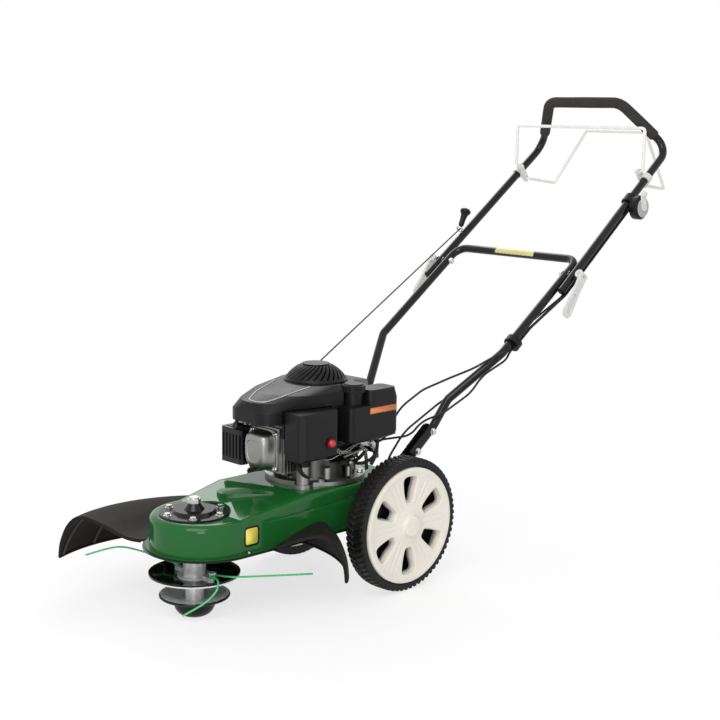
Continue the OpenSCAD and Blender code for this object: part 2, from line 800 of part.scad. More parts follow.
// Fold bolts with cross barrels for the cam levers, and the rope guide's eye
lever_slope = 55;
cam_axis = [0, -sin(lever_slope), cos(lever_slope)];
lever_dir = [0, -cos(lever_slope), -sin(lever_slope)];
cam_x = fold_half_w + tube_r + 12.4;
barrel_r = 5;
barrel_half = 13;
guide_at = 100;
eye_r = 8;
function guide_point() = yz(-leg_half_w(guide_at), tube_point(guide_at) + (tube_r + eye_r + 4) * up_normal);

module handle_hardware() {
    nut_x = lower_half_w - tube_r - 0.5;
    color("silver") {
        both_sides() {
            rod(yz(nut_x - 9, fold), yz(cam_x, fold), bolt_r);
            from_left(nut_x - 7, fold) cylinder(r = 8, h = 6.6, $fn = 6);
            along(yz(cam_x, fold) - barrel_half * cam_axis, cam_axis)
                cylinder(r = barrel_r, h = 2 * barrel_half);
            from_left(lower_half_w + tube_r + gap, fold) difference() {
                cylinder(r = 9, h = washer_t - 2 * gap);
                translate([0, 0, -over]) cylinder(r = bolt_r - seat, h = washer_t + 2 * over);
            }
            from_left(fold_half_w + tube_r + gap, fold) difference() {
                cylinder(r = 9, h = 2);
                translate([0, 0, -over]) cylinder(r = bolt_r - seat, h = 2 + 2 * over);
            }
        }
        g = guide_point();
        along(g, yz(0, up_dir)) rotate_extrude() translate([eye_r, 0]) circle(2.5);
        rod(g - yz(0, (eye_r + 0.5) * up_normal), g - yz(0, (eye_r + 4) * up_normal), 2.5);
    }
}

// Cam lever: fork round the barrel and a paddle that hangs beside the tube
module cam_lever() {
    at = yz(cam_x, fold);
    head_r = 10;
    paddle_len = 112;
    shank_gap = bolt_r + 1;
    multmatrix([
        [1, cam_axis.x, lever_dir.x, at.x],
        [0, cam_axis.y, lever_dir.y, at.y],
        [0, cam_axis.z, lever_dir.z, at.z],
        [0, 0, 0, 1]])
        difference() {
            union() {
                rotate([90, 0, 0]) cylinder(r = head_r, h = 2 * barrel_half, center = true);
                translate([2, 0, 0]) rotate([0, 90, 0]) linear_extrude(7)
                    polygon([[0, -barrel_half], [-40, -11], [-paddle_len + 10, -15], [-paddle_len, -9],
                        [-paddle_len, 9], [-paddle_len + 10, 15], [-40, 11], [0, barrel_half]]);
            }
            rotate([90, 0, 0]) cylinder(r = barrel_r + fit, h = 3 * barrel_half, center = true);
            translate([-40, -shank_gap, -40]) cube([80, 2 * shank_gap, 40 + shank_gap]);
            translate([6, 0, paddle_len - 34]) rotate([0, 90, 0]) linear_extrude(10)
                bar2d([-18, 0], [20, 0], 7);
        }
}

module cam_lever_left() {
    color("white") cam_lever();
}

module cam_lever_right() {
    color("white") mirror([1, 0, 0]) cam_lever();
}

// White clips that carry both bails on the upper tubes
module bail_clips() {
    d = yz(0, up_dir) + [(upper_half_w - fold_half_w) / upper_len, 0, 0];
    at = yz(clip_x, tube_point(clip_at));
    color("white") both_sides() difference() {
        union() {
            along(at - clip_w / 2 * unit(d), d) cylinder(r = tube_r + clip_wall, h = clip_w);
            side_view(ear_in, clip_ear) bar2d(stop_pin, clutch_pin, 8);
        }
        along(at - clip_w * unit(d), d) cylinder(r = tube_r + seat, h = 2 * clip_w);
        for (p = [stop_pin, clutch_pin]) from_left(ear_in - 30, p) cylinder(r = wire_r + fit, h = 60);
    }
}

// Engine-stop bail: a straight bar across the handle on two upright legs
module stop_bail() {
    x = clip_x - 1;
    path = [yz(ear_in - 6, stop_pin), yz(x, stop_pin), yz(x, stop_bar), yz(-x, stop_bar), yz(-x, stop_pin),
        yz(-ear_in + 6, stop_pin)];
    color("white") bent_tube(path, wire_r, 9);
}

// Clutch bail: legs that run back from the clips, rise and close in to a short bar
clutch_knee = clutch_pin + [112, -14];
clutch_bar = clutch_pin + [138, 130];
clutch_leg_x = ear_in - 9;

module clutch_bail() {
    x = clutch_leg_x;
    path = [yz(ear_out, clutch_pin), yz(x, clutch_pin), yz(x, clutch_knee), yz(96, clutch_bar),
        yz(-96, clutch_bar),
        yz(-x, clutch_knee), yz(-x, clutch_pin), yz(-ear_out, clutch_pin)];
    color("white") bent_tube(path, wire_r, 8);
}

// Throttle control on the left tube
throttle_drop = 20;
throttle_r = 30;
function throttle_point() = tube_point(throttle_at) - throttle_drop * up_normal;
throttle_x = leg_half_w(throttle_at) + tube_r + 2;

module throttle_housing() {
    d = yz(0, up_dir) + [(upper_half_w - fold_half_w) / upper_len, 0, 0];
    at = yz(leg_half_w(throttle_at), tube_point(throttle_at));
    color("gray") difference() {
        union() {
            from_left(throttle_x, throttle_point()) cylinder(r = throttle_r, h = 16);
            from_left(throttle_x + 16, throttle_point())
                cylinder(r1 = throttle_r, r2 = throttle_r - 6, h = 6);
            along(at - 12 * unit(d), d) cylinder(r = tube_r + 6, h = 24);
            side_view(throttle_x - 6, 10) bar2d(tube_point(throttle_at), throttle_point(), 9);
        }
        along(at - 70 * unit(d), d) cylinder(r = tube_r + seat, h = 140);
        from_left(throttle_x + 4, throttle_point()) cylinder(r = 5 + fit, h = 40);
    }
}

// Thumb lever on the throttle's outer face
module throttle_lever() {
    face = throttle_x + 22 + gap;
    tip = throttle_point() + 34 * [cos(100), sin(100)];
    color("white") {
        from_left(throttle_x + 6, throttle_point()) cylinder(r = 5, h = 16 + gap + over);
        side_view(face, 5) bar2d(throttle_point(), tip, 8);
        from_left(face + 5 - over, tip) cylinder(r1 = 7, r2 = 5.5, h = 7);
    }
}

// Pull grip of the recoil starter, resting on the rope guide
pull_dir = [0, 0.42, 0.907];

module starter_grip() {
    color("black") along(guide_point() + 5.5 * pull_dir, pull_dir) rotate_extrude()
        polygon([[0, 0], [4, 0], [7, 6], [7.5, 22], [9, 34], [14, 42], [14, 47], [10, 51], [0, 52]]);
}

// Engine pieces are drawn from the crankshaft on the platform
module at_crank() {
    translate([0, crank_y, platform_z]) children();
}

flange_t = 9;

module crankcase() {
    color("silver") at_crank() difference() {
        union() {
            cylinder(r = engine_flange_r, h = flange_t);
            translate([0, 0, flange_t]) cylinder(r1 = 90, r2 = 84, h = 70 - flange_t);
            translate([0, 0, 70]) cylinder(r1 = 84, r2 = 66, h = 18);
            translate([0, 0, 88]) cylinder(r = 40, h = blower_z - 92);
            for (a = [0 : 30 : 330]) rotate(a + 10) translate([60, -2, 0]) cube([38, 4, 30]);
            translate([oil_at[0], oil_at[1], 0]) cylinder(r = 15, h = oil_top);
            linear_extrude(flange_t) bar2d([50, -72], oil_at, 20);
            translate([48, 58, 50]) cube([8, 40.5, 12]);
            translate([52, 96, 50]) cube([50, 2.5, 34]);
        }
        translate([0, 0, -over]) cylinder(r = crank_r + fit, h = 300);
        translate([0, -crank_y, -over]) on_engine_bolts() cylinder(r = bolt_r + seat, h = 60);
        on_engine_heads() cylinder(r = 2.4 * bolt_r, h = 50);
        translate([-55 - gap, -2 * cyl_far, 32 - gap]) cube([2 * (55 + gap), 2 * cyl_far - cyl_near, 200]);
        translate([oil_at[0], oil_at[1], oil_top - 18]) cylinder(r = 9 + fit, h = 30);
    }
}

// Room above each engine bolt
module on_engine_heads() {
    translate([0, -crank_y, flange_t]) on_engine_bolts() children();
}

// Cylinder with cooling fins, lying forward
module cylinder_block() {
    fin = 2.6;
    pitch = 8.5;
    color("dimgray") at_crank() {
        translate([0, -cyl_near, cyl_axis_z]) rotate([90, 0, 0]) cylinder(r = 40, h = cyl_far - cyl_near);
        for (y = [cyl_near : pitch : cyl_far - fin]) translate([-55, -y - fin, 32]) cube([110, fin, 104]);
        translate([-50, -cyl_far - 8, 36]) cube([100, 8, 96]);
    }
}

// Pressed rocker cover on the front of the head
module rocker_cover() {
    y = -cyl_far - 8;
    color("silver") at_crank() translate([0, 0, cyl_axis_z]) {
        translate([4, y, 0]) rotate([90, 0, 0]) linear_extrude(4) rounded2d(86, 94, 12);
        translate([4, y - 4, 0]) rotate([90, 0, 0]) linear_extrude(20) rounded2d(72, 82, 14);
        hull() {
            translate([4, y - 24, 0]) rotate([90, 0, 0]) linear_extrude(0.1) rounded2d(72, 82, 14, $fn = 32);
            translate([4, y - 34, 2]) rotate([90, 0, 0]) linear_extrude(0.1) rounded2d(56, 66, 12, $fn = 32);
        }
        for (sx = [-1, 1], sz = [-1, 1]) translate([4 + sx * 37, y - 4, sz * 41]) rotate([90, 0, 0])
            cylinder(r = 4.5, h = 3, $fn = 6);
    }
}

// Spark plug with its boot and the lead that goes up under the blower housing
module spark_plug() {
    y = -cyl_far - 8;
    at = [-48, y - 3, cyl_axis_z + 36];
    color("black") at_crank() {
        rod(at, at + [-3, -16, 5], 7);
        rod(at + [-3, -16, 5], at + [-6, -34, 11], 9);
        bent_tube([at + [-6, -30, 10], at + [-8, -30, 20], at + [-8, -6, 20],
            at + [-8, -6, blower_z - at.z - 6 - gap]], 3, 5);
    }
}

// Muffler in its ribbed guard, on the far side of the cylinder
module muffler() {
    x0 = -134;
    x1 = -62;
    y0 = -cyl_far - 20;
    y1 = -cyl_near - 14;
    z0 = 34;
    z1 = 112;
    ribs = 7;
    step = (y1 - y0 - 12) / ribs;
    color("black") at_crank() {
        difference() {
            rounded_box([x0, y0, z0], [x1, y1, z1], 8);
            for (i = [0 : ribs - 1]) {
                translate([x0 - over, y0 + 9 + i * step, z0 + 14]) cube([4, step * 0.45, z1 - z0 - 28]);
                translate([x0 + 10, y0 + 9 + i * step, z1 - 3]) cube([x1 - x0 - 20, step * 0.45, 4]);
            }
            for (i = [0 : 5]) translate([x0 + 9 + i * 11, y0 - over, z0 + 12]) cube([5, 4, z1 - z0 - 24]);
        }
        rod([x1 - 1, -cyl_near - 44, cyl_axis_z], [-55.1, -cyl_near - 44, cyl_axis_z], 16);
    }
}

// Plan of the tank, shared with the blower housing that makes room for it
module tank_form(grow) {
    hull() {
        rounded_box([tank_x[0] - grow, tank_y[0] + 70 - grow, tank_z[0] + 20 - grow],
            [tank_x[1] - 12 + grow, tank_y[1] + grow, tank_z[1] + grow], 12, $fn = 32);
        rounded_box([tank_x[0] - grow, tank_y[0] + 60 - grow, tank_z[0] + 12 - grow],
            [tank_x[1] + grow, tank_y[1] - 4 + grow, tank_z[1] - 20 + grow], 12, $fn = 32);
    }
    hull() {
        rounded_box([tank_x[0] - grow, tank_y[0] - grow, tank_z[0] + 6 - grow],
            [tank_x[1] + grow, tank_y[1] - 6 + grow, tank_z[1] - 30 + grow], 12, $fn = 32);
        rounded_box([tank_x[0] - grow, tank_y[0] + 10 - grow, tank_z[0] - grow],
            [tank_x[1] - 6 + grow, tank_y[1] - 40 + grow, tank_z[1] - 36 + grow], 12, $fn = 32);
    }
    translate([neck_at[0], neck_at[1], tank_z[1] - 40])
        cylinder(r = 21 + grow, h = neck_top - tank_z[1] + 40 + grow);
}

module fuel_tank() {
    color("black") at_crank() difference() {
        tank_form(0);
        translate([neck_at[0], neck_at[1], neck_top - 24]) cylinder(r = 15 + fit, h = 30);
    }
}

module fuel_cap() {
    color("black") at_crank() translate([neck_at[0], neck_at[1], neck_top]) {
        translate([0, 0, gap]) difference() {
            cylinder(r = 26, h = 15);
            for (i = [0 : 23]) rotate(i * 15) translate([26.6, 0, -over]) cylinder(r = 1.6, h = 20);
        }
        translate([0, 0, 15 + gap]) cylinder(r1 = 23, r2 = 20, h = 3);
        translate([0, 0, -18]) cylinder(r = 15, h = 18 + gap + over);
    }
}

module oil_cap() {
    color("black") at_crank() translate([oil_at[0], oil_at[1], oil_top]) {
        translate([0, 0, gap]) cylinder(r = 15, h = 10);
        translate([-15, -3, gap + 10]) cube([30, 6, 5]);
        translate([0, 0, -14]) cylinder(r = 9, h = 14 + gap + over);
    }
}

// Blower housing: a plump teardrop over the flywheel and the cylinder head
module blower_form() {
    hull($fn = 48) {
        translate([0, 0, blower_z]) cylinder(r = 98, h = dome_z - blower_z - 10);
        translate([0, 0, blower_z]) cylinder(r = 86, h = dome_z - blower_z);
        translate([-6, 104, blower_z]) cylinder(r = 46, h = 48);
        translate([0, -62, blower_z]) cylinder(r = 90, h = 51);
        translate([0, -118, blower_z]) cylinder(r = 76, h = 38);
        for (x = [-30, 30]) translate([x, -165, blower_z - 6]) cylinder(r = 37, h = 25);
    }
    translate([-62, -cyl_far - 6, cyl_axis_z + 30]) cube([124, cyl_far - 44, blower_z - cyl_axis_z - 29]);
}

module blower_housing() {
    color("dimgray") at_crank() difference() {
        blower_form();
        translate([-56, -cyl_far - 20, 0]) cube([112, cyl_far, cyl_axis_z + 56]);
        translate([0, 0, blower_z - 20]) cylinder(r = flywheel_r + 5, h = dome_z - blower_z + 8);
        translate([0, 0, blower_z]) cylinder(r = dome_r - 6, h = 100);
        tank_form(1.5);
        translate([neck_at[0], neck_at[1], neck_top - 60]) cylinder(r = 29, h = 100);
        translate([cover_x - 1, -166, 0]) cube([100, 128, 176]);
        translate([0, 0, 88 - over]) cylinder(r = 42, h = blower_z - 88 + 2 * over);
    }
}

// Louvred dome of the recoil starter
module recoil_cover() {
    cap_r = 30;
    sphere_z = (dome_h * dome_h + cap_r * cap_r - dome_r * dome_r) / (2 * dome_h);
    sphere_r = sqrt(dome_r * dome_r + sphere_z * sphere_z);
    arc_c = 42;
    arc_r = 46;
    color("dimgray") at_crank() translate([0, 0, dome_z]) difference() {
        rotate_extrude() {
            intersection() {
                translate([0, sphere_z]) difference() {
                    circle(sphere_r, $fn = 96);
                    circle(sphere_r - 4, $fn = 96);
                }
                square([dome_r + 5, dome_h - 2]);
            }
            translate([0, dome_h - 5]) square([cap_r, 6]);
            translate([dome_r - 6, 0]) square([6, 3]);
        }
        linear_extrude(2 * dome_h, center = true) for (i = [0 : slots - 1]) rotate(i * 360 / slots)
            intersection() {
                translate([arc_c, 0]) difference() {
                    circle(arc_r + 1.5);
                    circle(arc_r - 1.5);
                }
                difference() {
                    circle(dome_r - 5);
                    circle(cap_r + 3);
                }
                translate([-dome_r, 0]) square(2 * dome_r);
            }
    }
}

module flywheel() {
    fan_z = blower_z + 8;
    color("silver") at_crank() translate([0, 0, fan_z]) difference() {
        union() {
            cylinder(r = flywheel_r, h = 16);
            cylinder(r = 30, h = 40);
            for (i = [0 : 15]) rotate(i * 22.5) translate([38, -2, 15]) cube([flywheel_r - 42, 4, 21]);
        }
        translate([0, 0, -over]) cylinder(r = crank_r + seat, h = 60);
    }
}

module crankshaft() {
    low = belt_z - 14;
    color("silver") translate([0, crank_y, low]) cylinder(r = crank_r, h = platform_z + blower_z + 46 - low);
}

// Pulley with a V groove for the belt, about Z
module pulley(pitch_r, bore) {
    rim = pitch_r + belt_t / 2 + 2;
    floor_r = pitch_r - belt_t / 2 - 2;
    half = belt_w / 2 + 3;
    difference() {
        rotate_extrude() polygon([[0, -half], [rim, -half], [rim, -belt_w / 2 - 0.7],
            [floor_r, -belt_w / 2 + 1.6], [floor_r, belt_w / 2 - 1.6], [rim, belt_w / 2 + 0.7],
            [rim, half], [0, half]]);
        translate([0, 0, -50]) cylinder(r = bore, h = 100);
    }
}

module engine_pulley() {
    color("gray") translate([0, crank_y, belt_z]) pulley(engine_pulley_r, crank_r + seat);
}

module spindle_pulley() {
    color("gray") translate([0, 0, belt_z]) pulley(spindle_pulley_r, spindle_r + seat);
}

// Plan of a loop round both pulleys, moved out from the pitch line
module belt_loop(out) {
    big = spindle_pulley_r + out;
    small = engine_pulley_r + out;
    lean = asin((big - small) / crank_y);
    n = [cos(lean), sin(lean)];
    far = [0, crank_y];
    circle(big);
    translate(far) circle(small);
    polygon([big * n, far + small * n, far + small * [-n[0], n[1]], big * [-n[0], n[1]]]);
}

module drive_belt() {
    color("black") translate([0, 0, belt_z - belt_w / 2 + 2]) linear_extrude(belt_w - 4) difference() {
        belt_loop(belt_t / 2);
        belt_loop(-belt_t / 2);
    }
}

// Belt tensioner: arm on the deck's stud, idler pulley and a pull spring
arm_hook = idler_pivot + [-30, 6];

module idler_arm() {
    color("silver") difference() {
        union() {
            translate([0, 0, arm_z]) linear_extrude(arm_t) {
                bar2d(idler_pivot, idler_at, 10);
                bar2d(idler_pivot, arm_hook, 7);
            }
            translate([idler_at[0], idler_at[1], belt_z - 9])
                cylinder(r = stud_r, h = arm_z - belt_z + 9 + 1);
            translate([idler_at[0], idler_at[1], belt_z - 11]) cylinder(r = stud_r + 4, h = 2);
            translate([arm_hook[0], arm_hook[1], arm_z - 8]) cylinder(r = 3, h = 9);
        }
        translate([idler_pivot[0], idler_pivot[1], 0]) cylinder(r = stud_r + fit, h = 400);
    }
}

module idler_pulley() {
    color("gray") translate([idler_at[0], idler_at[1], belt_z]) rotate_extrude() difference() {
        translate([stud_r + fit, -8]) square([idler_r - stud_r, 16]);
        translate([idler_r - 2, -6.5]) square([10, 13]);
    }
}

// Pull spring from the cable's end to the tensioner arm, wound as one helix
spring_r = 5;
spring_wire = 0.8;
spring_turns = 16;
spring_len = 64;

module tension_spring() {
    start = [arm_hook[0], arm_hook[1] + 4, arm_z - 6];
    steps = 8 * spring_turns;
    coil = [for (i = [0 : steps]) let (a = 360 * i / 8)
        start + [spring_r * cos(a), 4 + spring_len * i / steps, spring_r * sin(a)]];
    echo(least_gap_between_turns = spring_len / spring_turns - 2 * spring_wire);
    color("silver") helix_tube(coil, spring_wire);
}

// A six-sided tube through the given points
module helix_tube(path, r) {
    sides = 6;
    n = len(path) - 1;
    rings = [for (i = [0 : n]) let (
        d = unit(path[min(i + 1, n)] - path[max(i - 1, 0)]),
        s = unit(cross(d, [0, 1, 0])),
        t = cross(s, d))
        for (k = [0 : sides - 1]) path[i] + r * (cos(360 * k / sides) * s + sin(360 * k / sides) * t)];
    walls = [for (i = [0 : n - 1]) for (k = [0 : sides - 1]) let (
        a = i * sides + k,
        b = i * sides + (k + 1) % sides)
        each [[a, a + sides, b + sides], [a, b + sides, b]]];
    caps = [[for (k = [0 : sides - 1]) k], [for (k = [sides - 1 : -1 : 0]) n * sides + k]];
    polyhedron(rings, concat(walls, caps));
}

// Carburettor on the near side of the cylinder with its control plate and links
module carburettor() {
    color("silver") at_crank() {
        translate([55.2, -118, 70]) cube([cover_x - 55.4, 44, 40]);
        translate([64, -74, 92]) cube([4, 52, 22]);
        rod([66, -34, 98], [94, -34, 82], 4);
        translate([92, -42, 50]) cube([3, 84, 38]);
        rod([94, -28, 76], [104, -28, 76], 5);
        rod([94, 22, 66], [114, 22, 66], 3);
        rod([98, -28, 76], [98, 22, 66], 1.6);
        rod([112, -18, 62], [112, 34, 70], 2.5);
    }
}

module air_filter_cover() {
    x1 = primer_at.x - 3;
    color("black") at_crank() difference() {
        union() {
            hull() {
                rounded_box([cover_x, -158, 72], [x1 - 8, -46, 174], 10, $fn = 32);
                rounded_box([cover_x, -151, 78], [x1, -53, 162], 10, $fn = 32);
            }
            translate([x1 - 3, primer_at.y, primer_at.z]) rotate([0, 90, 0]) cylinder(r = 13, h = 5);
        }
        translate([x1 - 12, primer_at.y, primer_at.z]) rotate([0, 90, 0]) cylinder(r = 9 + fit, h = 30);
    }
}

// Red primer bulb that presses in
module primer_bulb() {
    x1 = primer_at.x - 3;
    base = [x1 - 5, primer_at.y, primer_at.z];
    color("red") at_crank() translate(base) rotate([0, 90, 0]) rotate_extrude() {
        square([9, 8]);
        intersection() {
            translate([0, 8]) circle(9);
            translate([0, 8]) square(9);
        }
    }
}

// Starter rope and control cables along their routes
module starter_rope() {
    color("black") rod(rope_from, guide_point() + 2 * unit(guide_point() - rope_from), rope_r);
}

module throttle_cable() {
    color("black") bent_tube(throttle_route, cable_r, 24);
}

module stop_cable() {
    color("black") bent_tube(stop_route, cable_r, 24);
}

module clutch_cable() {
    color("black") bent_tube(clutch_route, cable_r, 18);
}

// Cutting head on the spindle
module spindle_shaft() {
    cone_top = deck_top + cap_t + 6 + cone_h;
    top = cone_top + 13;
    color("silver") {
        translate([0, 0, bowl_top + gap]) cylinder(r = spindle_r, h = top - bowl_top - gap);
        translate([0, 0, cone_top + gap]) cylinder(r = spindle_r + 4, h = 9, $fn = 6);
    }
}

bowl_top = 22;
hub_r = 24;
hub_low = lower_rim_z - 12;
disc_t = 3;
dish = 14;
disc_flat_r = 70;

module head_hub() {
    hub_top = deck_z - cover_t - 6;
    seat_z = upper_rim_z - dish + disc_t;
    hook_r = 60;
    color("silver") {
        difference() {
            union() {
                translate([0, 0, seat_z]) cylinder(r = hub_r, h = hub_top - 12 - seat_z);
                translate([0, 0, seat_z]) cylinder(r = hub_r + 12, h = 4);
                translate([0, 0, hub_top - 12]) cylinder(r1 = hub_r, r2 = spindle_r + 4, h = 12);
                translate([0, 0, hub_low + disc_t])
                    cylinder(r = hub_r - 4, h = upper_rim_z - dish - hub_low - disc_t);
            }
            translate([0, 0, hub_low]) cylinder(r = spindle_r + seat, h = hub_top);
        }
        for (a = [0, 180]) rotate(a) translate([hook_r, 0, seat_z]) {
            translate([-26, -6, 0]) cube([26, 12, 9]);
            cylinder(r = 4, h = 20);
            translate([0, 0, 19]) cylinder(r = 8, h = 3);
        }
    }
}

// Upper disc: a shallow dish whose rim stands up
module upper_disc() {
    low = upper_rim_z - dish;
    color("black") rotate_extrude() polygon([[spindle_r + seat, low], [disc_flat_r, low],
        [upper_disc_r - 6, upper_rim_z - 5], [upper_disc_r, upper_rim_z - 4],
        [upper_disc_r, upper_rim_z], [upper_disc_r - 8, upper_rim_z - 1],
        [disc_flat_r - 1, low + disc_t], [spindle_r + seat, low + disc_t]]);
}

// Lower disc: pressed dish with a rolled rim
module lower_disc() {
    low = hub_low;
    color("silver") rotate_extrude() {
        polygon([[spindle_r + seat, low], [hub_r + 8, low], [lower_disc_r - 3, lower_rim_z - 4],
            [lower_disc_r - 3, lower_rim_z], [hub_r + 7, low + disc_t], [spindle_r + seat, low + disc_t]]);
        translate([lower_disc_r - 3, lower_rim_z - 2]) circle(3);
    }
}

// Glide bowl that carries the nose over the ground
module glide_bowl() {
    color("black") rotate_extrude() difference() {
        polygon(concat([[0, 0], [foot_r, 0]],
            [for (a = [-70 : 10 : 0]) [foot_r + (bowl_r - foot_r) * cos(a), hub_low * (1 + sin(a))]],
            [[bowl_r, hub_low], [0, hub_low]]));
        translate([-over, bowl_top]) square([spindle_r + 6 + over, hub_low]);
    }
}

module line_right() {
    color("mediumseagreen") cord(line_right_route, line_r, 6);
}

module line_front() {
    color("mediumseagreen") cord(line_front_route, line_r, 4);
}

module line_left() {
    color("mediumseagreen") cord(line_left_route, line_r, 6);
}

deck();
belt_cover();
debris_shield();
line_cutter();
bolts();
spindle_housing();
spindle_bearings();
side_plates();
axle();
lower_handle();
cable_clips();
crankcase();
cylinder_block();
rocker_cover();
spark_plug();
muffler();
blower_housing();
recoil_cover();
fuel_tank();
carburettor();
air_filter_cover();
starter_rope();
throttle_cable();
stop_cable();
clutch_cable();
drive_belt();
tension_spring();
spindle_shaft();
spindle_pulley();
head_hub();
upper_disc();
lower_disc();
glide_bowl();
line_right();
line_front();
line_left();
crankshaft();
flywheel();
engine_pulley();
idler_arm();
idler_pulley();
tyre_left();
rim_left();
tyre_right();
rim_right();
upper_handle();
grip_foam();
handle_hardware();
bail_clips();
throttle_housing();
cam_lever_left();
cam_lever_right();
stop_bail();
clutch_bail();
throttle_lever();
starter_grip();
fuel_cap();
oil_cap();
primer_bulb();
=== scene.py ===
# %% [markdown]
# A wheeled string trimmer, dressed over its CAD frame. The frame brings every rigid part at its real
# size, in metres, with the cutting head's spindle over the origin, the handle towards +Y and up along +Z.
# This lesson gives those parts their finishes, and adds the pieces that are easier to work out as
# surfaces than as solids.

# %% load the frame
import json
import math

import bpy
import numpy as np
from mathutils import Matrix


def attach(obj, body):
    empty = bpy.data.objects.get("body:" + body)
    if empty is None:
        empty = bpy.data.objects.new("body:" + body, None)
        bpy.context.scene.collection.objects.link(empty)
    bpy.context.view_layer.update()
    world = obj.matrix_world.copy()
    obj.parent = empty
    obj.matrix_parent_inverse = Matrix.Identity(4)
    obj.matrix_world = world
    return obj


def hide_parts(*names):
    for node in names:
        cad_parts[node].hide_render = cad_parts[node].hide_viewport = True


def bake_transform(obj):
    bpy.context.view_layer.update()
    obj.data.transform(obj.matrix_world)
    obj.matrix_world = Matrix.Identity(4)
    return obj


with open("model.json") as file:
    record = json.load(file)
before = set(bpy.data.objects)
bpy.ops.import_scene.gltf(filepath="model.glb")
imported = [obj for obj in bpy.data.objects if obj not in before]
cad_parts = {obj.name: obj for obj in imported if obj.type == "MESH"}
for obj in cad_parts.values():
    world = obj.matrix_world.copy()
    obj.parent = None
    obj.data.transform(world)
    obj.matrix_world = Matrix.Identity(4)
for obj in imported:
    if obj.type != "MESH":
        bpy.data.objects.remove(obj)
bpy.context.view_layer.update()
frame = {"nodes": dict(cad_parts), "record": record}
nodes = frame["nodes"]
scene = bpy.context.scene

# %% [markdown]
# The camera stands where the photographer stood: in front of the machine, on the operator's left, a
# little above the engine. Its turn is given as an azimuth, a small elevation and a slight roll, and the
# three axes of the camera are worked out from them.

# %% camera
CAMERA_PLACE = np.array([2.25331, -1.74543, 1.04234])
CAMERA_AZIMUTH, CAMERA_ELEVATION, CAMERA_ROLL = np.radians([45.3976, 9.9278, 0.8902])
CAMERA_LENS_MM, CAMERA_SENSOR_MM = 70.49, 36


def camera_axes(azimuth, elevation, roll):
    """Back is the unit vector from the object to the camera; right is level, up completes the three, and
    the roll turns right and up about back."""
    back = np.array([math.sin(azimuth) * math.cos(elevation), -math.cos(azimuth) * math.cos(elevation),
                     math.sin(elevation)])
    right = np.cross(-back, [0, 0, 1])
    right /= np.linalg.norm(right)
    up = np.cross(back, right)
    cos_roll, sin_roll = math.cos(roll), math.sin(roll)
    return cos_roll * right + sin_roll * up, cos_roll * up - sin_roll * right, back


def stand(thing, axes, place):
    """Puts a camera or a lamp into the scene, with its three axes as the columns of its turn."""
    pose = np.eye(4)
    pose[:3, :3] = np.column_stack(axes)
    pose[:3, 3] = place
    thing.matrix_world = Matrix(pose.tolist())
    scene.collection.objects.link(thing)


camera = bpy.data.objects.new("camera", bpy.data.cameras.new("camera"))
camera.data.lens = CAMERA_LENS_MM
camera.data.sensor_width = CAMERA_SENSOR_MM
stand(camera, camera_axes(CAMERA_AZIMUTH, CAMERA_ELEVATION, CAMERA_ROLL), CAMERA_PLACE)
scene.camera = camera
print("camera at", CAMERA_PLACE.tolist())

# %% [markdown]
# Every new surface is a grid of points: rows along one parameter, columns along the other. Two helpers
# turn such grids into meshes. One lists the quads between neighbouring rows and columns, and can close
# the grid round either way. The other puts points and faces into a Blender mesh, gives it a material, and
# lets it ride on a body of the machine.

# %% grids and pieces
def grid_quads(rows, columns, close_rows=False, close_columns=False):
    """Quad (i, j) joins the points i, i + 1 along the rows and j, j + 1 along the columns."""
    i = np.arange(rows if close_rows else rows - 1)[:, None]
    j = np.arange(columns if close_columns else columns - 1)[None, :]
    below, beside = (i + 1) % rows, (j + 1) % columns
    corners = [i * columns + j, i * columns + beside, below * columns + beside, below * columns + j]
    return np.stack([np.broadcast_to(c, np.broadcast(i, j).shape) for c in corners], axis=-1).reshape(-1, 4)


def make_piece(name, points, faces, material, body=None, slot=None, smooth=40):
    """A mesh object from an array of points and lists of corner numbers, smooth below an edge angle."""
    points = np.asarray(points, float).reshape(-1, 3)
    mesh = bpy.data.meshes.new(name)
    mesh.from_pydata(points.tolist(), [], [list(map(int, face)) for face in faces])
    mesh.validate()
    mesh.shade_smooth()
    mesh.set_sharp_from_angle(angle=math.radians(smooth))
    mesh.materials.append(material)
    piece = bpy.data.objects.new(name, mesh)
    scene.collection.objects.link(piece)
    if body:
        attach(piece, body)
    print(name, len(mesh.vertices), "points", len(mesh.polygons), "faces")
    return piece


def thicken(piece, thickness, offset=-1):
    """The Solidify modifier gives an open surface a thickness in metres, below it if the offset is -1."""
    shell = piece.modifiers.new("skin", "SOLIDIFY")
    shell.thickness, shell.offset = thickness, offset


# %% [markdown]
# Cords, cables and tubes are one round section carried along a path. Where a path is soft, it comes from
# a few points by cutting corners: each round of cutting replaces a corner by two points at a quarter and
# three quarters of its sides, which tends to a smooth curve. The section stands square to the path,
# turned from one fixed direction that the path never runs along.

# %% paths and tubes
def unit(vectors):
    """Vectors divided by their own lengths."""
    return vectors / np.linalg.norm(vectors, axis=-1, keepdims=True)


def cut_corners(points, rounds=3):
    """Between the two fixed ends, each side p q gives the points 3/4 p + 1/4 q and 1/4 p + 3/4 q."""
    points = np.asarray(points, float)
    for _ in range(rounds):
        p, q = points[:-1], points[1:]
        sides = np.stack([0.75 * p + 0.25 * q, 0.25 * p + 0.75 * q], axis=1)
        points = np.vstack([points[:1], sides.reshape(-1, points.shape[1])[1:-1], points[-1:]])
    return points


def run_lengths(points):
    """The length of the path up to each of its points."""
    return np.concatenate([[0], np.cumsum(np.linalg.norm(np.diff(points, axis=0), axis=1))])


def even_steps(points, step):
    """The same path with points a constant step apart along its length."""
    lengths = run_lengths(points)
    count = max(3, int(round(lengths[-1] / step)) + 1)
    places = np.linspace(0, lengths[-1], count)
    return np.column_stack([np.interp(places, lengths, column) for column in points.T])


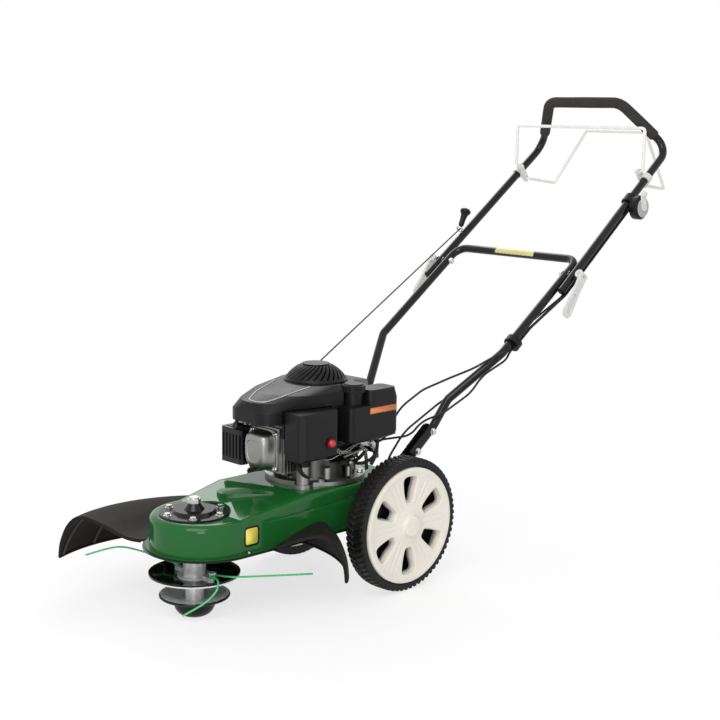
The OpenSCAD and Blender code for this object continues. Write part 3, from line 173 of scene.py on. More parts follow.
def path_frame(path, reference):
    """Two unit vectors for each point: side is square to the path and to the reference, and lift is
    square to the path and to side."""
    along = unit(np.gradient(path, axis=0))
    side = unit(np.cross(along, reference))
    return side[:, None], np.cross(side, along)[:, None]


def tube_rings(path, radii, reference, sides=16):
    """Ring i is path[i] + radius[i] (cos a times side + sin a times lift)."""
    path = np.asarray(path, float)
    side, lift = path_frame(path, reference)
    angle = np.linspace(0, 2 * np.pi, sides, endpoint=False)[None, :, None]
    ring = np.cos(angle) * side + np.sin(angle) * lift
    return path[:, None] + np.broadcast_to(radii, len(path))[:, None, None] * ring


def closed_tube_faces(rings, sides):
    """Quads along the tube and one many-sided face at each end, all pointing outwards."""
    walls = grid_quads(rings, sides, close_columns=True)
    start = np.arange(sides)
    return [*walls[:, ::-1].tolist(), start.tolist(), ((rings - 1) * sides + start[::-1]).tolist()]


def make_tube(name, path, radii, material, reference=(0, 0, 1), sides=16, **how):
    """A closed tube with flat ends along a path."""
    rings = tube_rings(path, radii, reference, sides)
    return make_piece(name, rings, closed_tube_faces(len(rings), sides), material, **how)


# %% [markdown]
# Shaders are small networks of nodes. Three helpers keep them short: one sets the inputs of a node, each
# to a number or to a link from another node's output, one adds a node, and one adds a Math node.

# %% shader nodes
def set_inputs(tree, node, inputs):
    """Gives the named or numbered inputs of a node a value or a link."""
    for key, value in inputs.items():
        if isinstance(value, bpy.types.NodeSocket):
            tree.links.new(value, node.inputs[key])
        else:
            node.inputs[key].default_value = value


def new_node(tree, kind, inputs=None, **settings):
    """A shader node with its settings and inputs."""
    node = tree.nodes.new("ShaderNode" + kind)
    for key, value in settings.items():
        setattr(node, key, value)
    set_inputs(tree, node, inputs or {})
    return node


def math_node(tree, operation, *values, clamp=False):
    """The output of a Math node that takes numbers or other outputs, in order."""
    inputs = dict(enumerate(values))
    return new_node(tree, "Math", inputs, operation=operation, use_clamp=clamp).outputs[0]


def new_material(name):
    """A material, its node tree and its Principled shader."""
    material = bpy.data.materials.new(name)
    material.use_nodes = True
    return material, material.node_tree, material.node_tree.nodes["Principled BSDF"]


# %% [markdown]
# A finish is one Principled shader. The parts of this machine differ in three ways: how the colour drifts
# over a few centimetres, how the gloss drifts, and how fine the relief is. One function reads a noise on
# Object coordinates for each of these, so that a pattern keeps its real size on every part. What is the
# same all over is set on the shader's own socket.

# %% finishes
DRIFT_STOPS, MIN_ROUGHNESS, GRAIN_STRENGTH = (0.3, 0.7), 0.02, 0.6


def new_finish(name, colour, roughness, metallic=0.0, coat=0.0, coat_roughness=0.1, specular=0.5,
               drift=0.12, drift_scale=14, gloss_drift=0.06, grain=0.0, grain_scale=900):
    """The colour goes from a darker to a lighter one by a broad noise, the roughness follows the same
    noise, and the relief is a fine noise of a given height in millimetres."""
    material, tree, shader = new_material(name)
    place = new_node(tree, "TexCoord").outputs["Object"]
    broad = new_node(tree, "TexNoise", {"Vector": place, "Scale": drift_scale, "Detail": 5}).outputs["Fac"]
    colours = new_node(tree, "ValToRGB", {"Fac": broad})
    for stop, position, change in zip(colours.color_ramp.elements, DRIFT_STOPS, (1 - drift, 1 + drift)):
        stop.position = position
        stop.color = [*(min(1, c * change) for c in colour), 1]
    smoothest, roughest = max(MIN_ROUGHNESS, roughness - gloss_drift), min(1, roughness + gloss_drift)
    gloss = new_node(tree, "MapRange", {"Value": broad, "To Min": smoothest, "To Max": roughest})
    set_inputs(tree, shader, {
        "Base Color": colours.outputs["Color"], "Roughness": gloss.outputs["Result"], "Metallic": metallic,
        "Coat Weight": coat, "Coat Roughness": coat_roughness, "Specular IOR Level": specular})
    if grain:
        fine = new_node(tree, "TexNoise", {"Vector": place, "Scale": grain_scale, "Detail": 3})
        relief = new_node(tree, "Bump", {"Strength": GRAIN_STRENGTH, "Distance": grain / 1000,
                                         "Height": fine.outputs["Fac"]})
        set_inputs(tree, shader, {"Normal": relief.outputs["Normal"]})
    return material


finishes = {
    "green_paint": new_finish("deck_green", (0.0095, 0.098, 0.018), 0.12, specular=0.22, coat=0.1,
                              coat_roughness=0.04, drift=0.06, grain=0.03, grain_scale=180),
    "black_paint": new_finish("tube_black", (0.005, 0.0045, 0.0045), 0.13, specular=0.3),
    "black_plastic": new_finish("moulded_black", (0.0065, 0.0065, 0.0065), 0.36, specular=0.2,
                                gloss_drift=0.1),
    "zinc": new_finish("zinc_plate", (0.6, 0.6, 0.58), 0.27, metallic=1, drift=0.1, drift_scale=34),
    "cast_alloy": new_finish("cast_alloy", (0.3, 0.3, 0.285), 0.4, metallic=1, drift=0.2, drift_scale=30,
                             grain=0.08, grain_scale=500),
    "black_rubber": new_finish("soft_black", (0.014, 0.013, 0.013), 0.6, specular=0.25),
    "tyre_rubber": new_finish("tyre_black", (0.008, 0.0075, 0.007), 0.5, specular=0.22, drift=0.3,
                              drift_scale=40),
    "cream_plastic": new_finish("wheel_cream", (0.745, 0.705, 0.625), 0.38, drift=0.03),
    "white_plastic": new_finish("lever_white", (0.64, 0.64, 0.62), 0.38, drift=0.03),
    "white_coat": new_finish("bail_white", (0.76, 0.755, 0.73), 0.4, drift=0.03),
    "grey_plastic": new_finish("dial_grey", (0.4, 0.4, 0.4), 0.4, drift=0.06),
    "green_line": new_finish("line_green", (0.05, 0.47, 0.16), 0.32, drift=0.08, drift_scale=90),
    "red_rubber": new_finish("primer_red", (0.5, 0.008, 0.01), 0.25, drift=0.06, coat=0.3),
}
finishes["rope"] = finishes["black_rubber"]
for subpart in frame["record"]["subparts"]:
    nodes[subpart["node"]].data.materials.clear()
    nodes[subpart["node"]].data.materials.append(finishes[subpart["material_slot"]])
print(len(finishes), "finishes")


def dressed(slot, body="chassis"):
    """What most new pieces need: the finish of a slot, the slot itself, and the body to ride on."""
    return dict(material=finishes[slot], slot=slot, body=body)


# %% [markdown]
# Three short lengths of line stick out of the cutting head. They are limp cords, each a tube of the line's
# real thickness. The points repeat the CAD's routes, and the curve goes through them.

# %% cutting lines
LINE_RADIUS, LINE_STEP = 0.002, 0.004
LINE_ROUTES = {
    "line_right": [[60, 6.1, 98], [99, 27, 99], [135, 97, 95], [165, 184, 87]],
    "line_front": [[60, -6.1, 98], [84, -10, 100], [100, -17, 96], [106, -28, 82], [100, -52, 62],
                   [82, -94, 40]],
    "line_left": [[-60, -6.1, 98], [-98, -14, 100], [-150, -26, 106], [-210, -48, 106], [-266, -92, 84]],
}


def through_points(points, steps):
    """A Catmull-Rom curve: between p1 and p2 it is the cubic whose slopes at p1 and p2 are half of
    p2 - p0 and half of p3 - p1, with the end points doubled."""
    p = np.asarray(points, float)
    p = np.vstack([p[:1], p, p[-1:]])
    t = np.linspace(0, 1, steps, endpoint=False)[None, :, None]
    a, b, c, d = (p[k:len(p) - 3 + k, None] for k in range(4))
    square, cube = 2 * a - 5 * b + 4 * c - d, 3 * b - a - 3 * c + d
    curve = 0.5 * (2 * b + (c - a) * t + square * t ** 2 + cube * t ** 3)
    return np.vstack([curve.reshape(-1, p.shape[1]), p[-1:]])


for name, route in LINE_ROUTES.items():
    path = even_steps(through_points(np.array(route) / 1000, 12), LINE_STEP)
    line = make_tube(name + "_cord", path, LINE_RADIUS, sides=14, **dressed("green_line", "cutter_head"))
    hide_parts(name)

# %% [markdown]
# The three control cables are held along the handle and cross the fold joint, where the real ones bend.
# Their paths are straight runs with round bends, the same as in the CAD.

# %% bent paths
SHARE_OF_RUN, BEND_POINTS = 0.48, 12


def bent_path(points, bend, step=0.004):
    """Straight runs joined by arcs of one radius, or a smaller one where a run is too short for it. The
    arc starts radius times tan(turn / 2) before the corner, and its middle lies beside the first run,
    square to it, on the side of the turn."""
    points = np.asarray(points, float)
    runs = [points[:1]]
    for before, corner, after in zip(points[:-2], points[1:-1], points[2:]):
        first, second = unit(corner - before), unit(after - corner)
        turn = math.acos(min(1, first @ second))
        side = unit(second - first * (first @ second))
        room = SHARE_OF_RUN * min(np.linalg.norm(corner - before), np.linalg.norm(after - corner))
        radius = min(bend, room / math.tan(turn / 2))
        middle = corner - radius * math.tan(turn / 2) * first + radius * side
        a = np.linspace(0, turn, BEND_POINTS)[:, None]
        runs.append(middle + radius * (np.sin(a) * first - np.cos(a) * side))
    return even_steps(np.vstack([*runs, points[-1:]]), step)


# %% control cables
CABLE_RADIUS, CABLE_BEND = 0.0025, 0.1
CABLE_ROUTES = {
    "throttle_cable": [[215.1, 1202.7, 821.5], [223.5, 939.3, 623], [205, 835.8, 553.1], [205, 769.5, 505.1],
                       [207, 744, 506], [190, 712, 492], [165, 685, 469], [140, 629, 449], [110, 570, 424],
                       [86, 520, 384], [90, 470, 322], [90, 438.8, 316]],
    "stop_cable": [[209.1, 1203.9, 819.9], [217.5, 940.5, 621.4], [195, 839.3, 548.3], [195, 773.1, 500.3],
                   [199, 755, 484], [181, 694, 452], [172, 665, 414], [146, 604, 372], [117, 560, 352],
                   [108, 535, 322], [68, 480, 314], [68, 438.8, 312]],
    "clutch_cable": [[203.1, 1203.7, 820.1], [211.5, 942, 619.4], [184, 837.5, 550.7], [184, 771.3, 502.7],
                     [174, 737, 471], [148, 693, 428], [108, 640, 390], [102, 520, 332], [92, 474, 268],
                     [92, 474, 214], [60, 430, 184], [58, 318, 184]],
}
FOLD = np.array([0, 0.980274, 0.668314])
UP_TUBE = np.array([0, 0.798636, 0.601815])

for name, route in CABLE_ROUTES.items():
    path = bent_path(np.array(route) / 1000, CABLE_BEND)
    cable = make_tube(name + "_sleeve", path, CABLE_RADIUS, finishes["black_rubber"], reference=(1, 0.2, 0),
                      sides=12)
    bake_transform(cable)
    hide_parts(name)

# %% [markdown]
# The starter rope is braided. Its path is straight and taut between the engine and the eye on the far
# tube. Strands round a thin tube would be hundreds of turns, so the braid is a relief: two sets of waves
# that wind opposite ways in the rope's own UV map, one running along and one around.

# %% rope braid
ROPE_SIDES, STRANDS, BRAID_PITCH, BRAID_RELIEF = 12, 4, 0.006, 0.0004


def new_braid(name, colour):
    """The height is the larger of two sine waves of U and V that climb opposite ways."""
    material = new_finish(name, colour, 0.75, drift=0.3, drift_scale=400)
    tree = material.node_tree
    along_around = new_node(tree, "SeparateXYZ", {"Vector": new_node(tree, "UVMap").outputs["UV"]}).outputs
    waves = []
    for way in (1, -1):
        around = math_node(tree, "MULTIPLY", along_around["Y"], way * 2 * math.pi * STRANDS)
        climb = math_node(tree, "MULTIPLY_ADD", along_around["X"], 2 * math.pi / BRAID_PITCH, around)
        waves.append(math_node(tree, "SINE", climb))
    relief = new_node(tree, "Bump", {"Distance": BRAID_RELIEF, "Height": math_node(tree, "MAXIMUM", *waves)})
    set_inputs(tree, tree.nodes["Principled BSDF"], {"Normal": relief.outputs["Normal"]})
    return material


def make_rope(name, ends, step, radius, reference=(0, 0, 1)):
    """A straight rope. In its UV map, U runs along it in metres and V once around it, from the place of each
    corner in the grid."""
    path = even_steps(ends, step)
    rope = make_tube(name, path, radius, finishes["rope"], reference=reference, sides=ROPE_SIDES)
    corner = np.empty(len(rope.data.loops), np.int64)
    rope.data.loops.foreach_get("vertex_index", corner)
    along, around = np.divmod(corner, ROPE_SIDES)
    length = float(np.linalg.norm(ends[1] - ends[0]))
    uv = np.column_stack([along / (len(path) - 1) * length, around / ROPE_SIDES])
    rope.data.uv_layers.new(name="along").data.foreach_set("uv", uv.astype(np.float32).ravel())
    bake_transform(rope)
    return rope


# %% starter rope
ROPE_RADIUS = 0.0018
ROPE_ENDS = np.array([[-64.5, 377, 463.3], [-212.3, 1048.7, 746.8]]) / 1000
finishes["rope"] = new_braid("rope_braid", (0.06, 0.06, 0.058))
rope = make_rope("starter_rope_braid", ROPE_ENDS, 0.006, ROPE_RADIUS)
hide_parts("starter_rope")

# %% [markdown]
# When the starter is pulled, rope comes out of the eye behind the grip. At rest this tail is a few
# millimetres of rope between the eye and the grip.

# %% rope tail
PULL = unit(np.array([0, 0.42, 0.907]))
TAIL_ENDS = ROPE_ENDS[1] + np.array([[0.0005], [0.008]]) * PULL
make_rope("starter_rope_tail", TAIL_ENDS, 0.00025, 0.9 * ROPE_RADIUS,
          reference=(1, 0, 0))

# %% [markdown]
# The wheels are moulded in one piece: six broad spokes between six deep windows, a round cap over the nut
# and a flat band under the tyre. The CAD has them with plain edges. Here one sixth of the face is worked
# out as a surface between two outlines, the window's and the wedge's, so that its lines flow round the
# window as on the real moulding. Six turned copies are welded, and the Solidify modifier gives the skin
# its thickness.

# %% wheel outlines
WINDOWS = 6
HUB_EDGE, BAND_EDGE = 0.0275, 0.1165
WINDOW_IN, WINDOW_OUT = 0.0515, 0.1115
WINDOW_HALF_TURN, WINDOW_ROUNDING = math.radians(12.2), 22
SIDE_POINTS, ARC_POINTS = 26, 20


def wedge_outline(inner, outer, half_turn):
    """Four sides one after the other: the inner arc, the side at plus the half turn, the outer arc back
    and the side at minus the half turn, each without its last point, as polar radius and angle."""
    turn = np.linspace(-half_turn, half_turn, ARC_POINTS, endpoint=False)
    reach = np.linspace(inner, outer, SIDE_POINTS, endpoint=False)
    radius = np.concatenate([np.full(ARC_POINTS, inner), reach, np.full(ARC_POINTS, outer),
                             inner + outer - reach])
    angle = np.concatenate([turn, np.full(SIDE_POINTS, half_turn), -turn, np.full(SIDE_POINTS, -half_turn)])
    return np.column_stack([radius * np.cos(angle), radius * np.sin(angle)])


def round_outline(outline, times):
    """Every point moves to the mean of itself and its two neighbours, again and again, which rounds the
    corners."""
    for _ in range(times):
        outline = (np.roll(outline, 1, axis=0) + outline + np.roll(outline, -1, axis=0)) / 3
    return outline


window = round_outline(wedge_outline(WINDOW_IN, WINDOW_OUT, WINDOW_HALF_TURN), WINDOW_ROUNDING)
wedge = wedge_outline(HUB_EDGE, BAND_EDGE, math.pi / WINDOWS)
print("outline points", len(window))

# %% [markdown]
# Seen from the side, the face is a shallow dish that rises to the cap. Two soft creases run along each
# spoke. The window's wall goes down steeply and a little inwards, and its upper edge is a small round.

# %% wheel face
FACE_Z, FACE_THICK, FACE_ROWS = 0.0245, 0.0028, 16
EDGE_ROUND, EDGE_ROWS, WINDOW_DEPTH, WALL_LEAN = 0.0036, 6, 0.019, 0.0035
HUB_RISE, HUB_RISE_REACH = 0.004, 0.012
BAND_RISE, BAND_RISE_START, BAND_RISE_REACH = 0.003, 0.07, 0.047
CREASE_AT, CREASE_WIDTH, CREASE_DEPTH = 0.0065, 0.0022, 0.0011
CREASE_START, CREASE_END, CREASE_FADE = 0.036, 0.114, 0.01


def face_height(points):
    """Height over the wheel's middle plane: a dish that rises to the hub and to the band, less two
    bell-shaped creases beside the middle line of each spoke."""
    radius = np.linalg.norm(points, axis=-1)
    angle = np.arctan2(points[..., 1], points[..., 0])
    off_spoke = radius * np.sin(math.pi / WINDOWS - np.abs(angle))
    to_hub = HUB_RISE * np.exp(-((radius - HUB_EDGE) / HUB_RISE_REACH) ** 2)
    to_band = BAND_RISE * np.clip((radius - BAND_RISE_START) / BAND_RISE_REACH, 0, 1) ** 2
    fade = (np.clip((radius - CREASE_START) / CREASE_FADE, 0, 1)
            * np.clip((CREASE_END - radius) / CREASE_FADE, 0, 1))
    crease = CREASE_DEPTH * fade * np.exp(-((off_spoke - CREASE_AT) / CREASE_WIDTH) ** 2)
    return FACE_Z + (to_hub + to_band) - crease


def wheel_sixth():
    """Rows go from the foot of the window's wall, up the wall, round its edge and out to the wedge. A
    point of a row lies at edge + share (wedge - edge), and drops below the face height by the row's
    depth."""
    outwards = unit(window - window.mean(axis=0))
    edge = window + EDGE_ROUND * outwards
    foot = window - WALL_LEAN * outwards
    quarter = np.linspace(0, math.pi / 2, EDGE_ROWS)
    share = np.linspace(0.08, 1, FACE_ROWS)[:, None, None]
    lift = np.concatenate([[WINDOW_DEPTH, 0.5 * WINDOW_DEPTH], EDGE_ROUND * (1 - np.sin(quarter)),
                           np.zeros(FACE_ROWS)])
    rounding = window + (EDGE_ROUND * (1 - np.cos(quarter)))[:, None, None] * outwards
    plan = np.concatenate([[foot, 0.5 * (foot + window)], rounding, edge + share * (wedge - edge)])
    return np.concatenate([plan, (face_height(plan) - lift[:, None])[..., None]], axis=-1)


def turned(points, angle):
    """Points turned about the third axis."""
    c, s = math.cos(angle), math.sin(angle)
    return points @ np.array([[c, s, 0], [-s, c, 0], [0, 0, 1]])


def weld(points, faces):
    """Points that fall on the same hundredth of a millimetre become one."""
    kept, back = np.unique(np.round(points, 5), axis=0, return_inverse=True)
    return kept, back.reshape(-1)[np.asarray(faces)]


sixth = wheel_sixth()
sixth_quads = grid_quads(*sixth.shape[:2], close_columns=True)
count = sixth.shape[0] * sixth.shape[1]
face_points, face_quads = weld(
    np.concatenate([turned(sixth.reshape(-1, 3), k * 2 * math.pi / WINDOWS) for k in range(WINDOWS)]),
    np.concatenate([sixth_quads + k * count for k in range(WINDOWS)]))
print("wheel face", len(face_points), "points")

# %% [markdown]
# The band under the tyre, the hub with its cap, and a black disc behind the windows are turned shapes: one
# outline, given by radius and height, carried round the axle. The black disc is a painted shade: it darkens
# the windows as the shade inside the wheel does.

# %% turned shapes
def lathe(outline, sides=96):
    """Point (i, j) is the outline's point i at the angle j, with the outline's radius and height."""
    outline = np.asarray(outline, float)
    angle = np.linspace(0, 2 * np.pi, sides, endpoint=False)
    radius, height = outline[:, :1], outline[:, 1:]
    points = np.broadcast_arrays(radius * np.cos(angle), radius * np.sin(angle), height)
    return np.stack(points, axis=-1).reshape(-1, 3)


def lathe_faces(rows, sides=96, closed=False):
    """Quads between neighbours of an outline that runs clockwise, so that they point outwards; a closed
    outline also joins its last point to its first."""
    return grid_quads(rows, sides, close_rows=closed, close_columns=True)[:, ::-1]


BAND_OUTLINE = np.array([[115.5, 25], [116.2, 27.2], [118, 28.4], [127.4, 28.4], [129.3, 27.7], [129.9, 26],
                         [129.9, -18.5], [129.2, -20], [127.5, -20.4], [125, -20.4], [123.6, -19.6],
                         [123, -17.5], [121, 19], [118.5, 22.6]]) / 1000
HUB_OUTLINE = np.array([[0.01, 36.9], [19, 36.9], [21.6, 36.6], [23.2, 35.6], [23.8, 34], [23.9, 31.6],
                        [24.6, 30.6], [26.2, 30], [28.2, 28.2], [28.6, 25], [23.4, 22], [22.4, 18],
                        [22.2, -25], [21.4, -25.9], [7, -25.9], [6.2, -25.2], [6.2, 25.6], [11.5, 25.8],
                        [11.5, 33], [0.01, 33]]) / 1000
SHADE_DISC_OUTLINE = np.array([[22.4, -7], [60, -6], [121.8, -8.5], [122.6, -9.6], [121.8, -10.8], [60, -8.4],
                         [22.4, -9.4]]) / 1000
WHEEL_X, AXLE_Y, AXLE_Z = 0.176, 0.44, 0.15
HUB_SIDES = 64
SIDES = ((1, "left"), (-1, "right"))


def on_wheel(points, side):
    """From the wheel's own plane, whose third axis is the axle pointing outwards, to the machine."""
    x, y, z = points.T
    return np.column_stack([side * (WHEEL_X + z), AXLE_Y + y, AXLE_Z - side * x])


for side, place in SIDES:
    cream, black = (dressed(slot, place + "_wheel") for slot in ("cream_plastic", "black_plastic"))
    skin = make_piece("wheel_face_" + place, on_wheel(face_points, side), face_quads, smooth=50, **cream)
    thicken(skin, FACE_THICK)
    make_piece("wheel_band_" + place, on_wheel(lathe(BAND_OUTLINE), side),
               lathe_faces(len(BAND_OUTLINE), closed=True), smooth=50, **cream)
    make_piece("wheel_hub_" + place, on_wheel(lathe(HUB_OUTLINE, HUB_SIDES), side),
               lathe_faces(len(HUB_OUTLINE), HUB_SIDES), smooth=45, **cream)
    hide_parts("rim_" + place)
    # painted shade: a black disc behind the windows that darkens them as the shade inside the wheel does
    make_piece("wheel_shade_disc_" + place, on_wheel(lathe(SHADE_DISC_OUTLINE), side),
               lathe_faces(len(SHADE_DISC_OUTLINE), closed=True), smooth=40, **black)

# %% [markdown]
# The tyre is one grid: a row for each point of its cross-section and a column for each small turn about
# the axle. The tread has two rows of slanting lugs, half a lug apart. The grooves between them are a wave
# in the turn with steep flanks that lowers the crown and fades out on the shoulders.

# %% tyres
LUGS, LUG_STEPS = 66, 10
TREAD_DEPTH, LUG_SLANT, TREAD_HALF, TYRE_STEP = 0.0036, 5, 0.0245, 0.0014
TYRE_OUTLINE = np.array([[130.1, 19.5], [131, 23.2], [134, 24.6], [141, 24.9], [147.2, 24.6], [149.3, 21.4],
                         [149.8, 13], [150, 5], [150, -5], [149.8, -13], [149.3, -21.4], [147.2, -24.6],
                         [141, -24.9], [134, -24.6], [131, -23.2], [130.1, -19.5]]) / 1000


def ramp(value, low, high):
    """Zero below low, one above high, and a smooth cubic between them."""
    t = np.clip((value - low) / (high - low), 0, 1)
    return t * t * (3 - 2 * t)


def tyre_points():
    """Each point keeps its height, and its radius is the outline's less the depth of the groove at that
    place: a cosine in the turn and the slant, cut to steep flanks, or the plain groove that runs round
    the middle."""
    outline = even_steps(cut_corners(TYRE_OUTLINE, 2), TYRE_STEP)
    angle = np.linspace(0, 2 * np.pi, LUGS * LUG_STEPS, endpoint=False)[None, :]
    radius, height = outline[:, :1], outline[:, 1:]
    half_lug = np.where(height > 0, 0, math.pi)
    wave = np.cos(LUGS * angle + half_lug + LUG_SLANT * np.abs(height) / TREAD_HALF)
    across = ramp(wave, -0.1, 0.35) * ramp(np.abs(height), 0.0, 0.003)
    middle = 1 - ramp(np.abs(height), 0.0016, 0.0024)
    radius = radius - TREAD_DEPTH * np.maximum(across, middle) * ramp(radius, 0.1375, 0.1445)
    return np.stack([radius * np.cos(angle), radius * np.sin(angle), height + 0 * angle], axis=-1)


tyre = tyre_points()
for side, place in SIDES:
    tread = make_piece("tyre_tread_" + place, on_wheel(tyre.reshape(-1, 3), side),
                       lathe_faces(*tyre.shape[:2], closed=True), smooth=50,
                       **dressed("tyre_rubber", place + "_wheel"))
    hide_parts("tyre_" + place)

# %% [markdown]
# A foam sleeve covers the grip bar. It is soft, so it is made anew: a round section along the tube's own
# path, a little slacker in the bends, with ends that close in. Its surface is a skin of fine open cells.

# %% foam grip
FOAM_RADIUS, FOAM_START, FOAM_BEND, FOAM_STEP = 0.014, 0.27, 0.040, 0.003
FOAM_SWELL, FOAM_WAVE, SWELL_FADE, FOAM_EASE = 0.012, 0.11, 0.03, 0.988
END_CLOSE, END_REACH = 0.16, 0.0022
GRIP_CORNERS = np.array([[202, 1373.2, 964.4], [113, 1280.7, 1078.65], [-113, 1280.7, 1078.65],
                         [-202, 1373.2, 964.4]]) / 1000
foam_points = GRIP_CORNERS.copy()
foam_points[0] += FOAM_START * (GRIP_CORNERS[1] - GRIP_CORNERS[0])
foam_points[-1] += FOAM_START * (GRIP_CORNERS[2] - GRIP_CORNERS[3])
path = bent_path(foam_points, FOAM_BEND, FOAM_STEP)
number = np.arange(len(path))
from_end = np.minimum(number, number[::-1]) * FOAM_STEP
swell = 1 + FOAM_SWELL * np.sin(number * FOAM_WAVE) * np.clip(from_end / SWELL_FADE, 0, 1)
radii = FOAM_RADIUS * swell * (1 - END_CLOSE * np.exp(-(from_end / END_REACH) ** 2)) * FOAM_EASE
finishes["foam"] = new_finish("foam_black", (0.036, 0.032, 0.031), 0.9, drift=0.2, drift_scale=30,
                              grain=0.25, grain_scale=1600, specular=0.25)
foam = make_tube("grip_foam_sleeve", path, radii, finishes["foam"], reference=(0, 1, 0.8), sides=32,
                 body="upper_frame", slot="black_rubber")
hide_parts("grip_foam")

# %% [markdown]
# Small fittings finish the tubes: plain plugs in the open ends and a bare pale strip on the cross bar. A
# plug is a turned shape along the tube's axis, and the strip is a curved patch that follows the tube.

# %% shapes turned about any axis
def frame_along(direction):
    """A unit vector along a direction and two that are square to it and to each other."""
    direction = unit(np.asarray(direction, float))
    side = unit(np.cross(direction, [1, 0.1, 0.3]))
    return direction, side, np.cross(direction, side)


def make_turned(name, outline, start, direction, material, sides=32, **how):
    """A turned piece whose axis runs from a point along a direction; its outline runs clockwise from the
    far end of the axis, in millimetres."""
    direction, side, lift = frame_along(direction)
    outline = np.asarray(outline, float) / 1000
    x, y, z = lathe(outline, sides).T[:, :, None]
    points = np.asarray(start) + x * side + y * lift + z * direction
    return make_piece(name, points, lathe_faces(len(outline), sides), material, **how)


# %% tube plugs
PLUG_OUTLINE = [[0.01, 3.2], [5, 3], [8.4, 2.2], [9.8, 0.6], [9.9, 0], [8.2, -0.4], [8.2, -6], [0.01, -6]]
LEG_FOOT, LEG_KNEE = np.array([0.1282, 0.519, 0.284]), np.array([0.1282, 0.577, 0.330])
TAIL_LENGTH, FOLD_HALF_W, TAIL_SPREAD = 0.060, 0.2145, 0.0125 / 0.492
tail_end = np.array([FOLD_HALF_W + TAIL_SPREAD * TAIL_LENGTH, *(FOLD - TAIL_LENGTH * UP_TUBE)[1:]])
for side, place in SIDES:
    mirror = np.array([side, 1, 1])
    make_turned("leg_plug_" + place, PLUG_OUTLINE, LEG_FOOT * mirror, LEG_FOOT - LEG_KNEE, smooth=50,
                **dressed("black_plastic"))
    make_turned("tail_plug_" + place, PLUG_OUTLINE, tail_end * mirror, -UP_TUBE, smooth=50,
                **dressed("black_plastic", "upper_frame"))

# %% cross bar strip
TUBE_RADIUS, FILM = 0.010, 0.0001
CROSS_BAR = np.array([0, 1.024, 0.700])
STRIP_HALF, STRIP_TURN, STRIP_LEAN, STRIP_GRID = 0.062, math.radians(62), math.radians(40), (20, 16)
finishes["pale_strip"] = new_finish("strip_pale", (0.6, 0.56, 0.22), 0.35, drift=0.04)
across = np.linspace(-STRIP_HALF, STRIP_HALF, STRIP_GRID[0])[:, None]
turn = np.linspace(-STRIP_TURN, STRIP_TURN, STRIP_GRID[1])[None, :] + STRIP_LEAN
strip_radius = TUBE_RADIUS + 0.00015
strip = np.stack(np.broadcast_arrays(across, CROSS_BAR[1] - strip_radius * np.sin(turn),
                                     CROSS_BAR[2] + strip_radius * np.cos(turn)), axis=-1)
sticker = make_piece("cross_bar_strip", strip, grid_quads(*STRIP_GRID), finishes["pale_strip"],
                     body="chassis", smooth=60)
thicken(sticker, FILM)

# %% [markdown]
# The rocker cover is a casting with soft edges that a few CAD solids can't give. Its outline is a
# superellipse, squarer at the bolting flange and rounder in front, and a little narrower towards the
# bottom. A row of the grid is one depth with its own half width, half height and squareness. The field in
# front stays bare.

# %% rocker cover
CRANK = np.array([0, 0.34, 0.245])
COVER_ROWS = np.array([[0, 0.01, 0.01, 5], [0, 42.5, 46.5, 7], [3.2, 42.5, 46.5, 7], [4, 41.8, 45.8, 7],
                       [4.2, 39, 43, 6], [4.8, 37.4, 42.2, 5], [7, 36.2, 41.4, 5], [18, 35, 40.2, 4.6],
                       [25, 33.6, 38.8, 4.4], [30, 31, 36, 4.2], [33, 27.4, 32, 4], [34.4, 23.4, 27.6, 4],
                       [34.8, 20.6, 24.4, 4], [34.7, 19.9, 23.5, 4], [33.9, 19.2, 22.7, 4],
                       [33.8, 18, 21.4, 4], [34, 9, 11, 3], [34, 0.01, 0.01, 3]])
COVER_MIDDLE, COVER_SIDES = np.array([4, -150, 82]), 96
FLANGE_DEPTH, COVER_TAPER = 4.1, 0.17


def from_crank(points):
    """Points given in millimetres from the crankshaft, in the machine's metres."""
    return CRANK + np.asarray(points, float) / 1000


def cover_points():
    """At the angle a, across is half width times |cos a| to the power 2/n and up is half height times
    |sin a| to the same power, with the signs of cos and sin; in front of the flange and below the middle,
    across shrinks by the taper times the squared share."""
    depth, half_w, half_h, n = (column[:, None] for column in COVER_ROWS.T)
    angle = np.linspace(0, 2 * np.pi, COVER_SIDES, endpoint=False)[None, :]
    across = half_w * np.sign(np.cos(angle)) * np.abs(np.cos(angle)) ** (2 / n)
    up = half_h * np.sign(np.sin(angle)) * np.abs(np.sin(angle)) ** (2 / n)
    taper = 1 - COVER_TAPER * np.where(depth > FLANGE_DEPTH, np.clip(-up / half_h, 0, 1) ** 2, 0)
    points = COVER_MIDDLE + np.stack([across * taper, -depth + 0 * up, up], axis=-1)
    return from_crank(points.reshape(-1, 3))


def faced_out(points, quads):
    """The quads as they are or all turned over, whichever gives the closed surface a positive volume: a
    sixth of the sum of a . (b x c) over its triangles."""
    corner = [points[quads[:, k]] for k in range(4)]
    volume = sum(np.einsum("ij,ij->i", corner[0], np.cross(corner[k], corner[k + 1])).sum() for k in (1, 2))
    return quads if volume > 0 else quads[:, ::-1]


points = cover_points()
quads = faced_out(points, grid_quads(len(COVER_ROWS), COVER_SIDES, close_columns=True))
finishes["satin_alloy"] = new_finish("satin_alloy", (0.3, 0.3, 0.285), 0.4, metallic=1, drift=0.1,
                                     drift_scale=25, grain=0.05, grain_scale=700)
satin = dict(material=finishes["satin_alloy"], body="chassis", slot="cast_alloy")
cover = make_piece("rocker_casting", points, quads, smooth=35, **satin)
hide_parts("rocker_cover")

# %% [markdown]
# Small bolts, links and hoses fill the space round the carburettor on such engines. They are too fine for
# the CAD, so they are turned and swept here. First come hexagon heads on washers.

